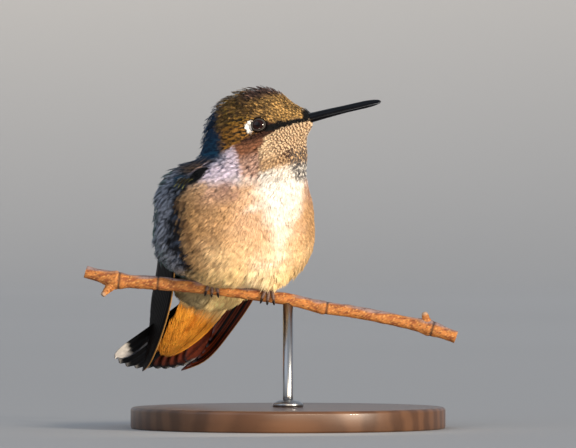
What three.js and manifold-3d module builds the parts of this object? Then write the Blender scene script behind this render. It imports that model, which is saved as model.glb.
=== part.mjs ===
// A life-size female hummingbird, fluffed up and perched on a cut length of twig, which a plain display
// stand carries. Millimetres, +Z up, origin at the centre of the base's underside.
// The bird is built in its own frame, x forwards, y to its left and z up, from the middle of its trunk.
import * as THREE from "three";
import { mergeVertices } from "three/addons/utils/BufferGeometryUtils.js";
import Module from "manifold-3d";

const wasm = await Module();
wasm.setup();

// ---------- driving dimensions ----------

const GAP = 0.3; // clear space left between neighbouring solids

const TRUNK_AT = [-12.5, 2.2, 47.5]; // the trunk's middle over the base
const TRUNK_TURN = -57; // degrees from +X to where the breast points
const HEAD_AT = [7.9, 0, 22.1]; // the head's middle, in the bird's frame
const HEAD_TURN = 41; // the head looks over the left shoulder
const HEAD_PITCH = 15; // and a little upwards
const NECK_LOW = 9.6; // the neck's two ends, as heights along its own line
const NECK_HIGH = 14.4;

const BLEND = 3.5; // how softly the lobes of flesh run into each other
const FLESH_DETAIL = 5; // subdivisions of the sphere that a flesh surface is cast from

const EYE_RADIUS = 2.1;
const EYE_AT = { forward: 3.7, aside: 6.8, up: 0.45 }; // in the head's frame

const BILL_BASE = 11.2; // where the bill starts inside the face
const BILL_TIP = 31.8;
const BILL_LEVEL = -0.55; // its middle line, in the head's frame
const BILL_DROOP = 0.75; // how far its point has dropped from that line
const BILL_SLIT = 0.12; // between the two closed halves

const PRIMARIES = 6; // flight feathers that show in each folded wing
const WING_WIDTH = 10.2; // across the folded wing, at the wrist
const WING_CURL = 0.012; // how soon the wing turns in over the rump, per millimetre from its leading edge
const COVERTS = { thick: 1.5, proud: 0.3, end: 0.4 }; // the patch of short feathers over the wing's roots
const FEATHER_THICK = 0.55;

const TAIL_ROOT_AT = [-12.6, 0, -14.6];
const TAIL_LENGTH = 31;
const TAIL_SLOPE = 39.5; // degrees below level
const TAIL_FAN = { right: 22.8, left: 12 }; // degrees from the middle to the outermost feather
const TONGUE_LENGTH = 22.3; // of the coverts under the tail
const TONGUE_ASIDE = 1.25; // how far they lie to the bird's right

const TWIG_RADIUS = 1.45;
const FOOT_ALONG = { right: -17.8, left: -4.7 }; // where each foot grips, along the twig
const TOE_RADIUS = 0.42;

const BASE = { radius: 37, height: 5, edge: 0.8, sides: 36 };
const COLLAR = { radius: 3.6, height: 1.6, sides: 12 };
const ROD = { radius: 1.2, sides: 12, intoTwig: 1.0 };

// ---------- materials ----------

const finish = (color, roughness, metalness = 0) =>
  new THREE.MeshStandardMaterial({ color, roughness, metalness });

const MATERIALS = {
  breast: finish(0xcdb795, 0.9),
  crown: finish(0x6b6038, 0.75),
  neck: finish(0xa79a8c, 0.9),
  wing: finish(0x2c1f1b, 0.6),
  tail: finish(0x3a2a1e, 0.6),
  tongue: finish(0xd89a4e, 0.9),
  thigh: finish(0xe2d3b8, 0.95),
  bill: finish(0x101114, 0.35),
  eye: finish(0x120b08, 0.08),
  foot: finish(0x3a2d28, 0.6),
  claw: finish(0x17120f, 0.4),
  bark: finish(0x9a6238, 0.85),
  walnut: finish(0x4a2f1e, 0.5),
  steel: finish(0x8d8f92, 0.35, 1),
};

// ---------- small helpers ----------

const vector = (a) => new THREE.Vector3(...a);
const radians = THREE.MathUtils.degToRad;
const lerp = THREE.MathUtils.lerp;

// A closed geometry as a manifold-3d solid.
function solidOf(geometry) {
  const bare = geometry.clone();
  bare.deleteAttribute("normal");
  bare.deleteAttribute("uv");
  const merged = mergeVertices(bare, 1e-4);
  return new wasm.Manifold(
    new wasm.Mesh({
      numProp: 3,
      vertProperties: merged.attributes.position.array,
      triVerts: new Uint32Array(merged.index.array),
    }),
  );
}

function geometryOf(solid) {
  const mesh = solid.getMesh();
  const geometry = new THREE.BufferGeometry();
  geometry.setAttribute("position", new THREE.BufferAttribute(mesh.vertProperties, 3));
  geometry.setIndex(new THREE.BufferAttribute(mesh.triVerts, 1));
  geometry.computeVertexNormals();
  return geometry;
}

const union = (solids) => solids.reduce((all, one) => all.add(one));
const without = (solid, cutters) => cutters.reduce((left, cutter) => left.subtract(cutter), solid);

// The biggest body of a solid that a cut has left in several.
function largest(solid) {
  const bodies = solid.decompose();
  return bodies.reduce((best, body) => (body.volume() > best.volume() ? body : best));
}

// A closed skin over rings of points, all with the same count, capped flat at both ends.
function loft(rings) {
  const count = rings[0].length;
  const points = rings.flat();
  const faces = [];
  for (let i = 0; i + 1 < rings.length; i++) {
    for (let j = 0; j < count; j++) {
      const a = i * count + j;
      const b = i * count + ((j + 1) % count);
      faces.push(a, b, b + count, a, b + count, a + count);
    }
  }
  const last = (rings.length - 1) * count;
  for (let j = 1; j + 1 < count; j++) {
    faces.push(0, j + 1, j);
    faces.push(last, last + j, last + j + 1);
  }
  const geometry = new THREE.BufferGeometry().setFromPoints(points);
  geometry.setIndex(faces);
  const solid = solidOf(geometry);
  if (solid.volume() >= 0) return solid;
  for (let i = 0; i < faces.length; i += 3) [faces[i + 1], faces[i + 2]] = [faces[i + 2], faces[i + 1]];
  geometry.setIndex(faces);
  return solidOf(geometry);
}

// A round bar along a curve, whose radius is a function of how far along it is.
function bar(curve, radius, steps, sides, start = new THREE.Vector3(0, 0, 1)) {
  const rings = [];
  let up = start.clone();
  for (let i = 0; i <= steps; i++) {
    const t = i / steps;
    const along = curve.getTangent(t);
    const across = new THREE.Vector3().crossVectors(along, up).normalize();
    up = new THREE.Vector3().crossVectors(across, along).normalize();
    const centre = curve.getPoint(t);
    rings.push(
      Array.from({ length: sides }, (_, j) => {
        const turn = (2 * Math.PI * j) / sides;
        const r = radius(t, turn);
        return centre
          .clone()
          .addScaledVector(across, r * Math.cos(turn))
          .addScaledVector(up, r * Math.sin(turn));
      }),
    );
  }
  return loft(rings);
}

// One flight feather, or a stack of them: a flat blade along a curve. facing is the way its flat side looks.
function blade({ curve, width, facing, thick, steps, grow = 0 }) {
  const rings = [];
  for (let i = 0; i <= steps; i++) {
    const t = i / steps;
    const along = curve.getTangent(t);
    const side = new THREE.Vector3().crossVectors(facing(t), along).normalize();
    const out = new THREE.Vector3().crossVectors(along, side).normalize();
    const centre = curve.getPoint(t);
    if (i === 0) centre.addScaledVector(along, -grow);
    if (i === steps) centre.addScaledVector(along, grow);
    const half = width(t) / 2 + grow;
    const deep = thick / 2 + grow;
    rings.push(
      [[-1, -1], [1, -1], [1, 1], [-1, 1]].map(([a, b]) =>
        centre.clone().addScaledVector(side, a * half).addScaledVector(out, b * deep),
      ),
    );
  }
  return loft(rings);
}

const ellipsoid = (at, radii, detail = 3) =>
  solidOf(new THREE.IcosahedronGeometry(1, detail).scale(...radii).translate(...at));

// ---------- flesh and feathers of head, neck and trunk ----------

const HEAD = new THREE.Matrix4()
  .makeTranslation(...HEAD_AT)
  .multiply(new THREE.Matrix4().makeRotationZ(radians(HEAD_TURN)))
  .multiply(new THREE.Matrix4().makeRotationY(radians(-HEAD_PITCH)));
const BIRD = new THREE.Matrix4();

const LOBES = [
  { name: "cranium", frame: HEAD, at: [-0.9, 0, 0.6], radii: [10.0, 9.2, 9.2] },
  { name: "brow", frame: HEAD, at: [4.0, 0, 3.4], radii: [6.2, 5.6, 5.3] },
  { name: "face", frame: HEAD, at: [7.2, 0, -0.6], radii: [6.3, 4.6, 4.2] },
  { name: "bill roots", frame: HEAD, at: [11.0, 0, -0.6], radii: [3.9, 2.2, 2.0] },
  { name: "throat", frame: HEAD, at: [5.0, 0, -6.6], radii: [6.3, 7.2, 6.2] },
  { name: "crop", frame: BIRD, at: [10.0, 3.0, 10.0], radii: [7.8, 9.2, 8.8] },
  { name: "nape", frame: BIRD, at: [2.6, 0, 15.5], radii: [8.8, 9.6, 8.8] },
  { name: "right shoulder", frame: BIRD, at: [-4.5, -9.6, 6.4], radii: [7.2, 7.6, 7.2] },
  { name: "left shoulder", frame: BIRD, at: [-4.5, 9.6, 6.4], radii: [7.2, 7.6, 7.2] },
  { name: "breast", frame: BIRD, at: [2.6, 0.2, 3.0], radii: [14.0, 18.0, 14.2] },
  { name: "back", frame: BIRD, at: [-3.2, 0, 2.4], radii: [13.6, 17.8, 13.8] },
  { name: "belly", frame: BIRD, at: [1.4, 0.9, -4.0], radii: [14.4, 17.8, 10.8] },
  { name: "right flank", frame: BIRD, at: [-6.6, -9.6, -3.2], radii: [7.2, 7.2, 8.4] },
  { name: "left flank", frame: BIRD, at: [-6.6, 9.6, -3.2], radii: [7.2, 7.2, 8.4] },
  { name: "rump", frame: BIRD, at: [-10.2, 0, -8.6], radii: [7.4, 8.4, 7.4] },
  { name: "vent", frame: BIRD, at: [-10.0, 0, -14.4], radii: [7.0, 9.4, 5.4] },
].map((lobe) => ({ ...lobe, inverse: lobe.frame.clone().invert() }));

// About how far a point lies outside one lobe, in millimetres.
function outside(lobe, point) {
  const p = point.clone().applyMatrix4(lobe.inverse).sub(vector(lobe.at)).divide(vector(lobe.radii));
  const slope = p.clone().divide(vector(lobe.radii)).length();
  return (p.length() * (p.length() - 1)) / slope;
}

// About how far a point lies outside the whole body, with the lobes run together.
function outsideBody(point) {
  return LOBES.map((lobe) => outside(lobe, point)).reduce((a, b) => {
    const near = Math.max(BLEND - Math.abs(a - b), 0) / BLEND;
    return Math.min(a, b) - (near * near * BLEND) / 4;
  });
}

// The body's surface as it is seen from a point inside: a sphere cast out onto it, or a little beyond it.
function castFrom(centre, beyond = 0, reach = 42) {
  const sphere = new THREE.IcosahedronGeometry(1, FLESH_DETAIL);
  const place = sphere.attributes.position;
  for (let i = 0; i < place.count; i++) {
    const way = new THREE.Vector3().fromBufferAttribute(place, i).normalize();
    const at = (r) => centre.clone().addScaledVector(way, r);
    let low = 0;
    while (low < reach && outsideBody(at(low + 0.5)) < beyond) low += 0.5;
    let high = low + 0.5;
    for (let n = 0; n < 18; n++) {
      const middle = (low + high) / 2;
      if (outsideBody(at(middle)) < beyond) low = middle;
      else high = middle;
    }
    place.setXYZ(i, ...at(low).toArray());
  }
  return solidOf(sphere);
}

// The head and trunk meet at a short neck, between two planes across the neck's own line.
const NECK_LINE = new THREE.Vector3(0.2, 0, 0.98).normalize();
const above = (solid, height) => solid.trimByPlane(NECK_LINE.toArray(), height + GAP / 2);
const below = (solid, height) =>
  solid.trimByPlane(NECK_LINE.clone().negate().toArray(), -(height - GAP / 2));

// ---------- eyes and bill ----------

const eyeCentre = (side) =>
  new THREE.Vector3(EYE_AT.forward, side * EYE_AT.aside, EYE_AT.up).applyMatrix4(HEAD);

const eyeball = (side, grow = 0) =>
  solidOf(new THREE.IcosahedronGeometry(EYE_RADIUS + grow, 2).translate(...eyeCentre(side).toArray()));

// The whole closed bill, straight with a slightly drooping point, in the head's frame.
function bill(grow = 0) {
  const steps = 9;
  const sides = 8;
  const rings = [];
  for (let i = 0; i <= steps; i++) {
    const t = i / steps;
    const droop = BILL_DROOP * t * t;
    const point = 0.12 + 0.88 * Math.sqrt(1 - Math.max(0, (t - 0.78) / 0.22) ** 2);
    const deep = lerp(1.2, 0.86, Math.min(1, t * 1.7)) * point + grow;
    const wide = lerp(1.5, 0.82, Math.min(1, t * 1.5)) * point + grow;
    const forward = lerp(BILL_BASE, BILL_TIP, t) + (i === steps ? grow : 0);
    rings.push(
      Array.from({ length: sides }, (_, j) => {
        const turn = (2 * Math.PI * (j + 0.5)) / sides;
        return new THREE.Vector3(forward, wide * Math.cos(turn), BILL_LEVEL - droop + deep * Math.sin(turn));
      }),
    );
  }
  return loft(rings);
}

// The closed mouth's line slopes gently from the gape to the point, so that it halves the bill.
const MOUTH = new THREE.Vector3(Math.sin(radians(2)), 0, Math.cos(radians(2)));
const MOUTH_LEVEL = -0.45;
const inHead = (solid) => solid.transform(HEAD.elements);
const billUpper = () => inHead(bill().trimByPlane(MOUTH.toArray(), MOUTH_LEVEL + BILL_SLIT / 2));
const billLower = () =>
  inHead(bill().trimByPlane(MOUTH.clone().negate().toArray(), -(MOUTH_LEVEL - BILL_SLIT / 2)));

// ---------- wings ----------

// The leading edge of the folded left wing, from the wrist to the tip, in the bird's frame.
const WING_EDGE = [
  [0.4, 14.0, 8.5], [-2.2, 14.6, -3.0], [-9.0, 11.8, -16.5], [-16.1, 9.8, -24.8],
  [-24.6, 7.8, -32.2], [-32.0, 5.3, -35.4],
];

// side is +1 on the bird's left and -1 on its right.
const wingEdge = (side) =>
  new THREE.CatmullRomCurve3(WING_EDGE.map(([x, y, z]) => new THREE.Vector3(x, side * y, z)));

// Which way its outer face looks: a little upwards at the wrist, a little downwards beside the tail.
const wingOut = (side, t) => new THREE.Vector3(0.05, side, lerp(0.16, -0.24, Math.min(1, t * 1.6))).normalize();

// A strip of the folded wing, offset from the leading edge towards the back, between two places along it.
function wingStrip(side, { start, end, offset, inset, width, thick, steps, grow }) {
  const edge = wingEdge(side);
  const points = Array.from({ length: 9 }, (_, n) => {
    const t = lerp(start, end, n / 8);
    const out = wingOut(side, t);
    const along = edge.getTangentAt(t);
    const back = new THREE.Vector3().crossVectors(out, along).normalize().multiplyScalar(side);
    const inwards = inset + WING_CURL * offset(t) ** 2;
    return edge.getPointAt(t).addScaledVector(back, offset(t)).addScaledVector(out, -inwards);
  });
  const facing = (t) => wingOut(side, lerp(start, end, t));
  return blade({ curve: new THREE.CatmullRomCurve3(points), width, facing, thick, steps, grow });
}

// How wide the folded wing still is at a place along it.
const wingWidth = (t) => WING_WIDTH * Math.sqrt(1 - (0.93 * Math.max(0, (t - 0.3) / 0.7)) ** 1.5);

// The long flight feathers: the leading one is the longest, and each of the others ends a little sooner.
function primaries(side, grow = 0) {
  const feathers = [];
  for (let i = 0; i < PRIMARIES; i++) {
    const rank = i / (PRIMARIES - 1);
    feathers.push(
      wingStrip(side, {
        start: 0.25,
        end: lerp(1, 0.7, rank),
        offset: (t) => 1.4 + rank * (wingWidth(t) - 2.8),
        inset: 0.16 * i,
        width: (t) => 3.6 * Math.sqrt(1 - 0.96 * Math.max(0, (t - 0.62) / 0.38) ** 2),
        thick: FEATHER_THICK,
        steps: 4,
        grow,
      }),
    );
  }
  return union(feathers);
}

// The outline of the coverts over the roots of the flight feathers, as a thick leaf across the flank.
const covertsLeaf = (side, grow = 0) =>
  wingStrip(side, {
    start: 0,
    end: COVERTS.end,
    offset: (t) => WING_WIDTH * lerp(0.72, 0.86, t),
    inset: 0,
    width: (t) => 1.1 * WING_WIDTH * Math.sqrt(Math.sin(Math.PI * lerp(0.1, 0.9, t))),
    thick: 14,
    steps: 7,
    grow,
  });

// The coverts lie on the flank: a patch of even thickness.
const FLANK_FROM = new THREE.Vector3(-2, 0, -1); // the point inside the trunk that its surface is cast from
const flank = (beyond) => castFrom(FLANK_FROM, beyond);
const outerFlank = flank(COVERTS.proud);
const innerFlank = flank(COVERTS.proud - COVERTS.thick);
const outerRoom = flank(COVERTS.proud + GAP);
const innerRoom = flank(COVERTS.proud - COVERTS.thick - GAP);
const coverts = (side) => largest(covertsLeaf(side).intersect(outerFlank).subtract(innerFlank));
const covertsRoom = (side) => covertsLeaf(side, GAP).intersect(outerRoom).subtract(innerRoom);

// The room that the long feathers of one folded wing need.
const primariesRoom = (side) =>
  wingStrip(side, {
    start: 0.2,
    end: 1,
    offset: (t) => wingWidth(t) / 2,
    inset: 0.6,
    width: (t) => wingWidth(lerp(0.2, 1, t)) + 1.2,
    thick: 2.6,
    steps: 8,
    grow: GAP,
  });

// ---------- tail ----------

const TAIL_ROOT = vector(TAIL_ROOT_AT);
const TAIL_WAY = new THREE.Vector3(-Math.cos(radians(TAIL_SLOPE)), 0, -Math.sin(radians(TAIL_SLOPE)));
const TAIL_UNDER = new THREE.Vector3(Math.sin(radians(TAIL_SLOPE)), 0, -Math.cos(radians(TAIL_SLOPE)));

// One of the ten tail feathers: rank 0 is a middle one, which lies on top, and 1 an outer one.
function tailFeather(side, rank) {
  const fan = radians(1.5 + TAIL_FAN[side > 0 ? "left" : "right"] * rank);
  const length = TAIL_LENGTH * (1 - 0.1 * rank * rank);
  const way = TAIL_WAY.clone().multiplyScalar(Math.cos(fan));
  way.y = side * Math.sin(fan);
  const under = -0.4 + 1.3 * rank + (side > 0 ? 0.16 : 0);
  const root = TAIL_ROOT.clone().addScaledVector(TAIL_UNDER, under);
  root.y += side * (0.5 + 1.6 * rank);
  const tip = root.clone().addScaledVector(way, length);
  const bend = root.clone().addScaledVector(way, length * 0.55).addScaledVector(TAIL_UNDER, 0.7);
  return blade({
    curve: new THREE.QuadraticBezierCurve3(root, bend, tip),
    width: (t) => lerp(2.6, 6.0, Math.min(1, t * 1.35)) * Math.sqrt(1 - 0.97 * Math.max(0, (t - 0.8) / 0.2) ** 2),
    facing: () => TAIL_UNDER,
    thick: FEATHER_THICK,
    steps: 4,
  });
}

const TAIL_RANKS = [0, 0.25, 0.5, 0.75, 1];
const tail = () =>
  union([
    ellipsoid(TAIL_ROOT_AT, [3.4, 3.6, 2.6], 1),
    ...[-1, 1].flatMap((side) => TAIL_RANKS.map((rank) => tailFeather(side, rank))),
  ]);

// The room that the tail's roots need in the trunk.
const tailRoom = () =>
  blade({
    curve: new THREE.LineCurve3(
      TAIL_ROOT.clone().addScaledVector(TAIL_WAY, -4),
      TAIL_ROOT.clone().addScaledVector(TAIL_WAY, 14),
    ),
    width: (t) => lerp(8.4, 17, t),
    facing: () => TAIL_UNDER,
    thick: 6,
    steps: 1,
  });

// The long soft coverts under the tail, a tongue that thins towards its point.
function tongue(grow = 0) {
  const steps = 8;
  const sides = 10;
  const rings = [];
  for (let i = 0; i <= steps; i++) {
    const t = i / steps;
    const wide = lerp(7.8, 5.6, t) * Math.sqrt(1 - 0.97 * t ** 2.4) + grow;
    const deep = lerp(2.6, 0.5, Math.sqrt(t)) + grow;
    const centre = TAIL_ROOT.clone()
      .addScaledVector(TAIL_WAY, TONGUE_LENGTH * t + (i === steps ? grow : 0) - (i === 0 ? grow : 0))
      .addScaledVector(TAIL_UNDER, 3.4 - 0.5 * t + 1.0 * Math.sin(Math.PI * t));
    rings.push(
      Array.from({ length: sides }, (_, j) => {
        const turn = (2 * Math.PI * j) / sides;
        const place = centre.clone().addScaledVector(TAIL_UNDER, deep * Math.sin(turn));
        place.y += wide * Math.cos(turn) - TONGUE_ASIDE;
        return place;
      }),
    );
  }
  return loft(rings);
}

// ---------- the twig ----------

// The twig's middle line as [x, z], in the plane y = 0: nearly straight between its nodes, where it kinks.
const TWIG_LINE = [
  [-47.6, 36.8], [-43.5, 35.6], [-40.4, 34.8], [-31.7, 34.2], [-25.6, 33.6], [-17, 32.7],
  [-8.2, 31.5], [0, 30.3], [8.2, 28.4], [16.5, 27.2], [26.3, 25.2], [32.9, 23.7], [39.5, 21.4],
];
const TWIG_NODES = [ // where a bud or a side twig grew: place along x, how much thicker, how long
  { at: -40.6, more: 0.75, spread: 2.4 },
  { at: -31.5, more: 0.2, spread: 5 },
  { at: 8.2, more: 0.15, spread: 1.6 },
  { at: 33.0, more: 0.45, spread: 2.6 },
];
const twigCurve = new THREE.CatmullRomCurve3(
  TWIG_LINE.map(([x, z]) => new THREE.Vector3(x, 0, z)), false, "centripetal",
);

const twigRadius = (x) =>
  TWIG_NODES.reduce((r, n) => r + n.more * Math.exp(-(((x - n.at) / n.spread) ** 2)), TWIG_RADIUS);

function twig(grow = 0) {
  return bar(twigCurve, (t) => twigRadius(twigCurve.getPoint(t).x) + grow, 18, 8);
}

// The broken stub under the left node and the bud over the right one.
function twigGrowths() {
  const stub = new THREE.LineCurve3(new THREE.Vector3(-40.8, -0.3, 34.4), new THREE.Vector3(-43.6, -1.4, 31.2));
  const bud = new THREE.LineCurve3(new THREE.Vector3(33.0, -0.2, 23.7), new THREE.Vector3(32.0, -0.5, 27.3));
  return [
    bar(stub, (t) => lerp(1.35, 0.7, t), 3, 8, new THREE.Vector3(0, 1, 0)),
    bar(bud, (t) => lerp(1.2, 0.75, Math.max(0, t - 0.5) * 2), 3, 8, new THREE.Vector3(0, 1, 0)),
  ];
}

// The point, direction and upright of the twig at a place along x.
function twigAt(x) {
  let low = 0;
  let high = 1;
  for (let n = 0; n < 30; n++) {
    const middle = (low + high) / 2;
    if (twigCurve.getPoint(middle).x < x) low = middle;
    else high = middle;
  }
  const along = twigCurve.getTangent(low);
  return { centre: twigCurve.getPoint(low), along, up: new THREE.Vector3(-along.z, 0, along.x) };
}

// ---------- feet, in the twig's frame ----------

// A bar that curls round the twig between two angles, 0 at the front and 90 on top.
function curl(x, { from, to, drift, hug, radius, steps = 4, sides = 5 }) {
  const { centre, along, up } = twigAt(x);
  const front = new THREE.Vector3(0, -1, 0);
  const points = Array.from({ length: 9 }, (_, n) => {
    const turn = radians(lerp(from, to, n / 8));
    return centre
      .clone()
      .addScaledVector(front, hug * Math.cos(turn))
      .addScaledVector(up, hug * Math.sin(turn))
      .addScaledVector(along, lerp(drift[0], drift[1], n / 8));
  });
  return bar(new THREE.CatmullRomCurve3(points), radius, steps, sides, along);
}

const TOES = [ // three toes forwards and one back
  { from: 82, to: -22, drift: [-0.4, -1.35] },
  { from: 82, to: -34, drift: [0, 0.05] },
  { from: 82, to: -22, drift: [0.4, 1.45] },
  { from: 98, to: 200, drift: [0, 0.1] },
];
const TOE_HUG = TWIG_RADIUS + TOE_RADIUS + 0.12;
const CLAW_TURN = 40; // degrees round the twig that a claw reaches

// The four toes and the pad that they spread from.
function foot(name) {
  const x = FOOT_ALONG[name];
  const { centre, up } = twigAt(x);
  const pad = centre.clone().addScaledVector(up, TOE_HUG + 0.1);
  const toes = TOES.map((toe) => curl(x, { ...toe, hug: TOE_HUG, radius: () => TOE_RADIUS }));
  return union([ellipsoid(pad.toArray(), [1.0, 0.8, 0.55], 1), ...toes]);
}

function claw(name, i) {
  const toe = TOES[i];
  const way = Math.sign(toe.to - toe.from);
  const start = toe.to + way * 8;
  const ahead = toe.drift[1] + (toe.drift[1] - toe.drift[0]) * 0.25;
  return curl(FOOT_ALONG[name], {
    from: start,
    to: start + way * CLAW_TURN,
    drift: [toe.drift[1], ahead],
    hug: TOE_HUG + 0.02,
    radius: (t) => lerp(0.34, 0.14, t),
    steps: 3,
  });
}

// The room that the grip needs under the belly: a short fat bar along the twig.
function gripRoom(name) {
  const { centre, along } = twigAt(FOOT_ALONG[name]);
  const reach = 2.7;
  const line = new THREE.LineCurve3(
    centre.clone().addScaledVector(along, -reach),
    centre.clone().addScaledVector(along, reach),
  );
  return bar(line, () => TOE_HUG + TOE_RADIUS + 2 * GAP, 1, 10);
}

// The loose feathers round the top of a leg, which hang in front of the twig.
function thigh(name, grow = 0) {
  const { centre } = twigAt(FOOT_ALONG[name]);
  const middle = centre.clone().add(new THREE.Vector3(0.3, -0.3, 4.4));
  return ellipsoid(middle.toArray(), [2.3 + grow, 2.5 + grow, 3.3 + grow], 1);
}

// ---------- the stand ----------

function turned(profile, sides) {
  return solidOf(
    new THREE.LatheGeometry(profile.map(([r, z]) => new THREE.Vector2(r, z)), sides).rotateX(Math.PI / 2),
  );
}

const standBase = () =>
  turned(
    [[0, 0], [BASE.radius, 0], [BASE.radius, BASE.height - BASE.edge],
      [BASE.radius - BASE.edge, BASE.height], [0, BASE.height]],
    BASE.sides,
  );

const standCollar = () =>
  turned(
    [[0, BASE.height], [COLLAR.radius, BASE.height], [COLLAR.radius, BASE.height + COLLAR.height / 2],
      [ROD.radius + 0.8, BASE.height + COLLAR.height], [0, BASE.height + COLLAR.height]],
    COLLAR.sides,
  );

function standRod(grow = 0) {
  const top = twigAt(0).centre.z - TWIG_RADIUS + ROD.intoTwig + grow;
  const foot = BASE.height + COLLAR.height;
  return turned([[0, foot], [ROD.radius + grow, foot], [ROD.radius + grow, top], [0, top]], ROD.sides);
}

// ---------- assembly ----------

const model = new THREE.Group();
const bird = new THREE.Group();
bird.position.set(...TRUNK_AT);
bird.rotation.z = radians(TRUNK_TURN);
model.add(bird);
bird.updateMatrixWorld(true);
const toBird = bird.matrixWorld.clone().invert();
const inBird = (solid) => solid.transform(toBird.elements);

function add(group, name, solid, material) {
  const mesh = new THREE.Mesh(geometryOf(solid), material);
  mesh.name = name;
  group.add(mesh);
}

const SIDES = { right: -1, left: 1 };
const roomForTwig = twig(GAP);
const roomForGrip = Object.keys(SIDES).map(gripRoom);
const roomForThighs = Object.keys(SIDES).map((name) => thigh(name, GAP));
const roomForWings = Object.values(SIDES).flatMap((side) => [covertsRoom(side), primariesRoom(side)]);

const headCutters = [inHead(bill(GAP / 2)), ...Object.values(SIDES).map((side) => eyeball(side, GAP / 2))];
const head = above(castFrom(new THREE.Vector3(6.8, 0, 18.5)), NECK_HIGH);
add(bird, "head", largest(without(head, headCutters)), MATERIALS.crown);

const neck = below(above(castFrom(new THREE.Vector3(4.5, 0, 12)), NECK_LOW), NECK_HIGH);
add(bird, "neck", largest(without(neck, roomForWings)), MATERIALS.neck);

const trunk = below(flank(0), NECK_LOW);
const trunkCutters = [
  ...roomForWings, tailRoom(), tongue(GAP), ...[roomForTwig, ...roomForGrip, ...roomForThighs].map(inBird),
];
add(bird, "trunk", largest(without(trunk, trunkCutters)), MATERIALS.breast);

add(bird, "bill_upper", billUpper(), MATERIALS.bill);
add(bird, "bill_lower", billLower(), MATERIALS.bill);
const wingsGrown = Object.values(SIDES).map((side) => primaries(side, GAP));
add(bird, "tail", largest(without(tail(), [...wingsGrown, tongue(GAP)])), MATERIALS.tail);
add(bird, "undertail_coverts", largest(without(tongue(), wingsGrown)), MATERIALS.tongue);

for (const [name, side] of Object.entries(SIDES)) {
  const long = primaries(side).subtract(covertsRoom(side)).subtract(inBird(roomForTwig));
  add(bird, `eye_${name}`, eyeball(side), MATERIALS.eye);
  add(bird, `wing_${name}_coverts`, coverts(side), MATERIALS.wing);
  add(bird, `wing_${name}_primaries`, largest(long), MATERIALS.wing);
  const leg = largest(without(thigh(name), [roomForTwig, ...roomForGrip]));
  add(model, `leg_${name}`, leg, MATERIALS.thigh);
  add(model, `foot_${name}`, foot(name), MATERIALS.foot);
  TOES.forEach((_, i) => add(model, `claw_${name}_${i + 1}`, claw(name, i), MATERIALS.claw));
}

add(model, "perch", union([twig(), ...twigGrowths()]).subtract(standRod(GAP / 2)), MATERIALS.bark);
add(model, "stand_base", standBase(), MATERIALS.walnut);
add(model, "stand_collar", standCollar(), MATERIALS.steel);
add(model, "stand_rod", standRod(), MATERIALS.steel);

export default model;
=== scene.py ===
"""The looks of a female hummingbird that sits fluffed up on a cut twig, on a plain display stand.

Shapes are worked out in millimetres with numpy, from the same named sizes and curves as the solids,
and turned into metres when a mesh is made. The bird has its own frame: x forwards, y to its left and
z up from the middle of its trunk. The head has a frame of its own inside that one.
"""
import math

import bpy
import numpy as np
from mathutils.kdtree import KDTree
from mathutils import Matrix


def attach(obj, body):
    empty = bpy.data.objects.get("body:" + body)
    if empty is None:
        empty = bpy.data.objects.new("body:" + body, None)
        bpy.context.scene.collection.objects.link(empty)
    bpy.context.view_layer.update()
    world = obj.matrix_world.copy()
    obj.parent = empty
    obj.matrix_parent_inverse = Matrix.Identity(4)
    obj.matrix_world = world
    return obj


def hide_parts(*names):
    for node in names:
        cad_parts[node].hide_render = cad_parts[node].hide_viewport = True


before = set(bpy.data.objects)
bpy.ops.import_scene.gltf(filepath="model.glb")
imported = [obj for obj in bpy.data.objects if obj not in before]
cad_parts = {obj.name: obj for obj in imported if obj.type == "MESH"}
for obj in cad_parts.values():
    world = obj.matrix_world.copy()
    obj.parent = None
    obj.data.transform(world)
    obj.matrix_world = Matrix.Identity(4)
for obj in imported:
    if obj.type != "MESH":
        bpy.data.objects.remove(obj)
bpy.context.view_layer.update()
RNG = np.random.default_rng(7)

# ---------- sizes shared with the solids, in millimetres and degrees ----------

MM = 0.001
TRUNK_AT = np.array([-12.5, 2.2, 47.5])
TRUNK_TURN = -57
HEAD_AT = np.array([7.9, 0.0, 22.1])
HEAD_TURN = 41
HEAD_PITCH = 15
HEAD_CAST = np.array([2.0, 0.0, -0.5])  # in the head's frame: where its surface is cast from
TRUNK_CAST = np.array([-2.0, 0.0, -1.0])
NECK_LINE = np.array([0.2, 0.0, 0.98])
NECK_HEIGHT = 12.0  # along that line: where the head's plumage meets the trunk's
BLEND = 3.5

EYE_RADIUS = 2.1
EYE_AT = np.array([3.7, 6.8, 0.45])

BILL_BASE, BILL_TIP = 11.2, 31.8
BILL_LEVEL, BILL_DROOP, BILL_SLIT = -0.55, 0.75, 0.12
MOUTH_SLOPE, MOUTH_LEVEL = 2, -0.45

WING_WIDTH = 10.2
WING_CURL = 0.012
WING_EDGE = np.array([  # the left wing's leading edge, from the shoulder to the tip, in the bird's frame
    [0.4, 14.0, 8.5], [-2.2, 14.6, -3.0], [-9.0, 11.8, -16.5],
    [-16.1, 9.8, -24.8], [-24.6, 7.8, -32.2], [-32.0, 5.3, -35.4],
])
COVERTS_END = 0.4

TAIL_ROOT = np.array([-12.6, 0.0, -14.6])
TAIL_LENGTH = 31
TAIL_SLOPE = 39.5
TAIL_FAN = {"right": 22.8, "left": 12}
TONGUE_LENGTH = 22.3
TONGUE_ASIDE = 1.25

TWIG_LINE = np.array([  # x and z along its middle, in the row's frame
    [-47.6, 36.8], [-43.5, 35.6], [-40.4, 34.8], [-31.7, 34.2], [-25.6, 33.6], [-17, 32.7],
    [-8.2, 31.5], [0, 30.3], [8.2, 28.4], [16.5, 27.2], [26.3, 25.2], [32.9, 23.7], [39.5, 21.4],
])
TWIG_RADIUS = 1.45
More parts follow.
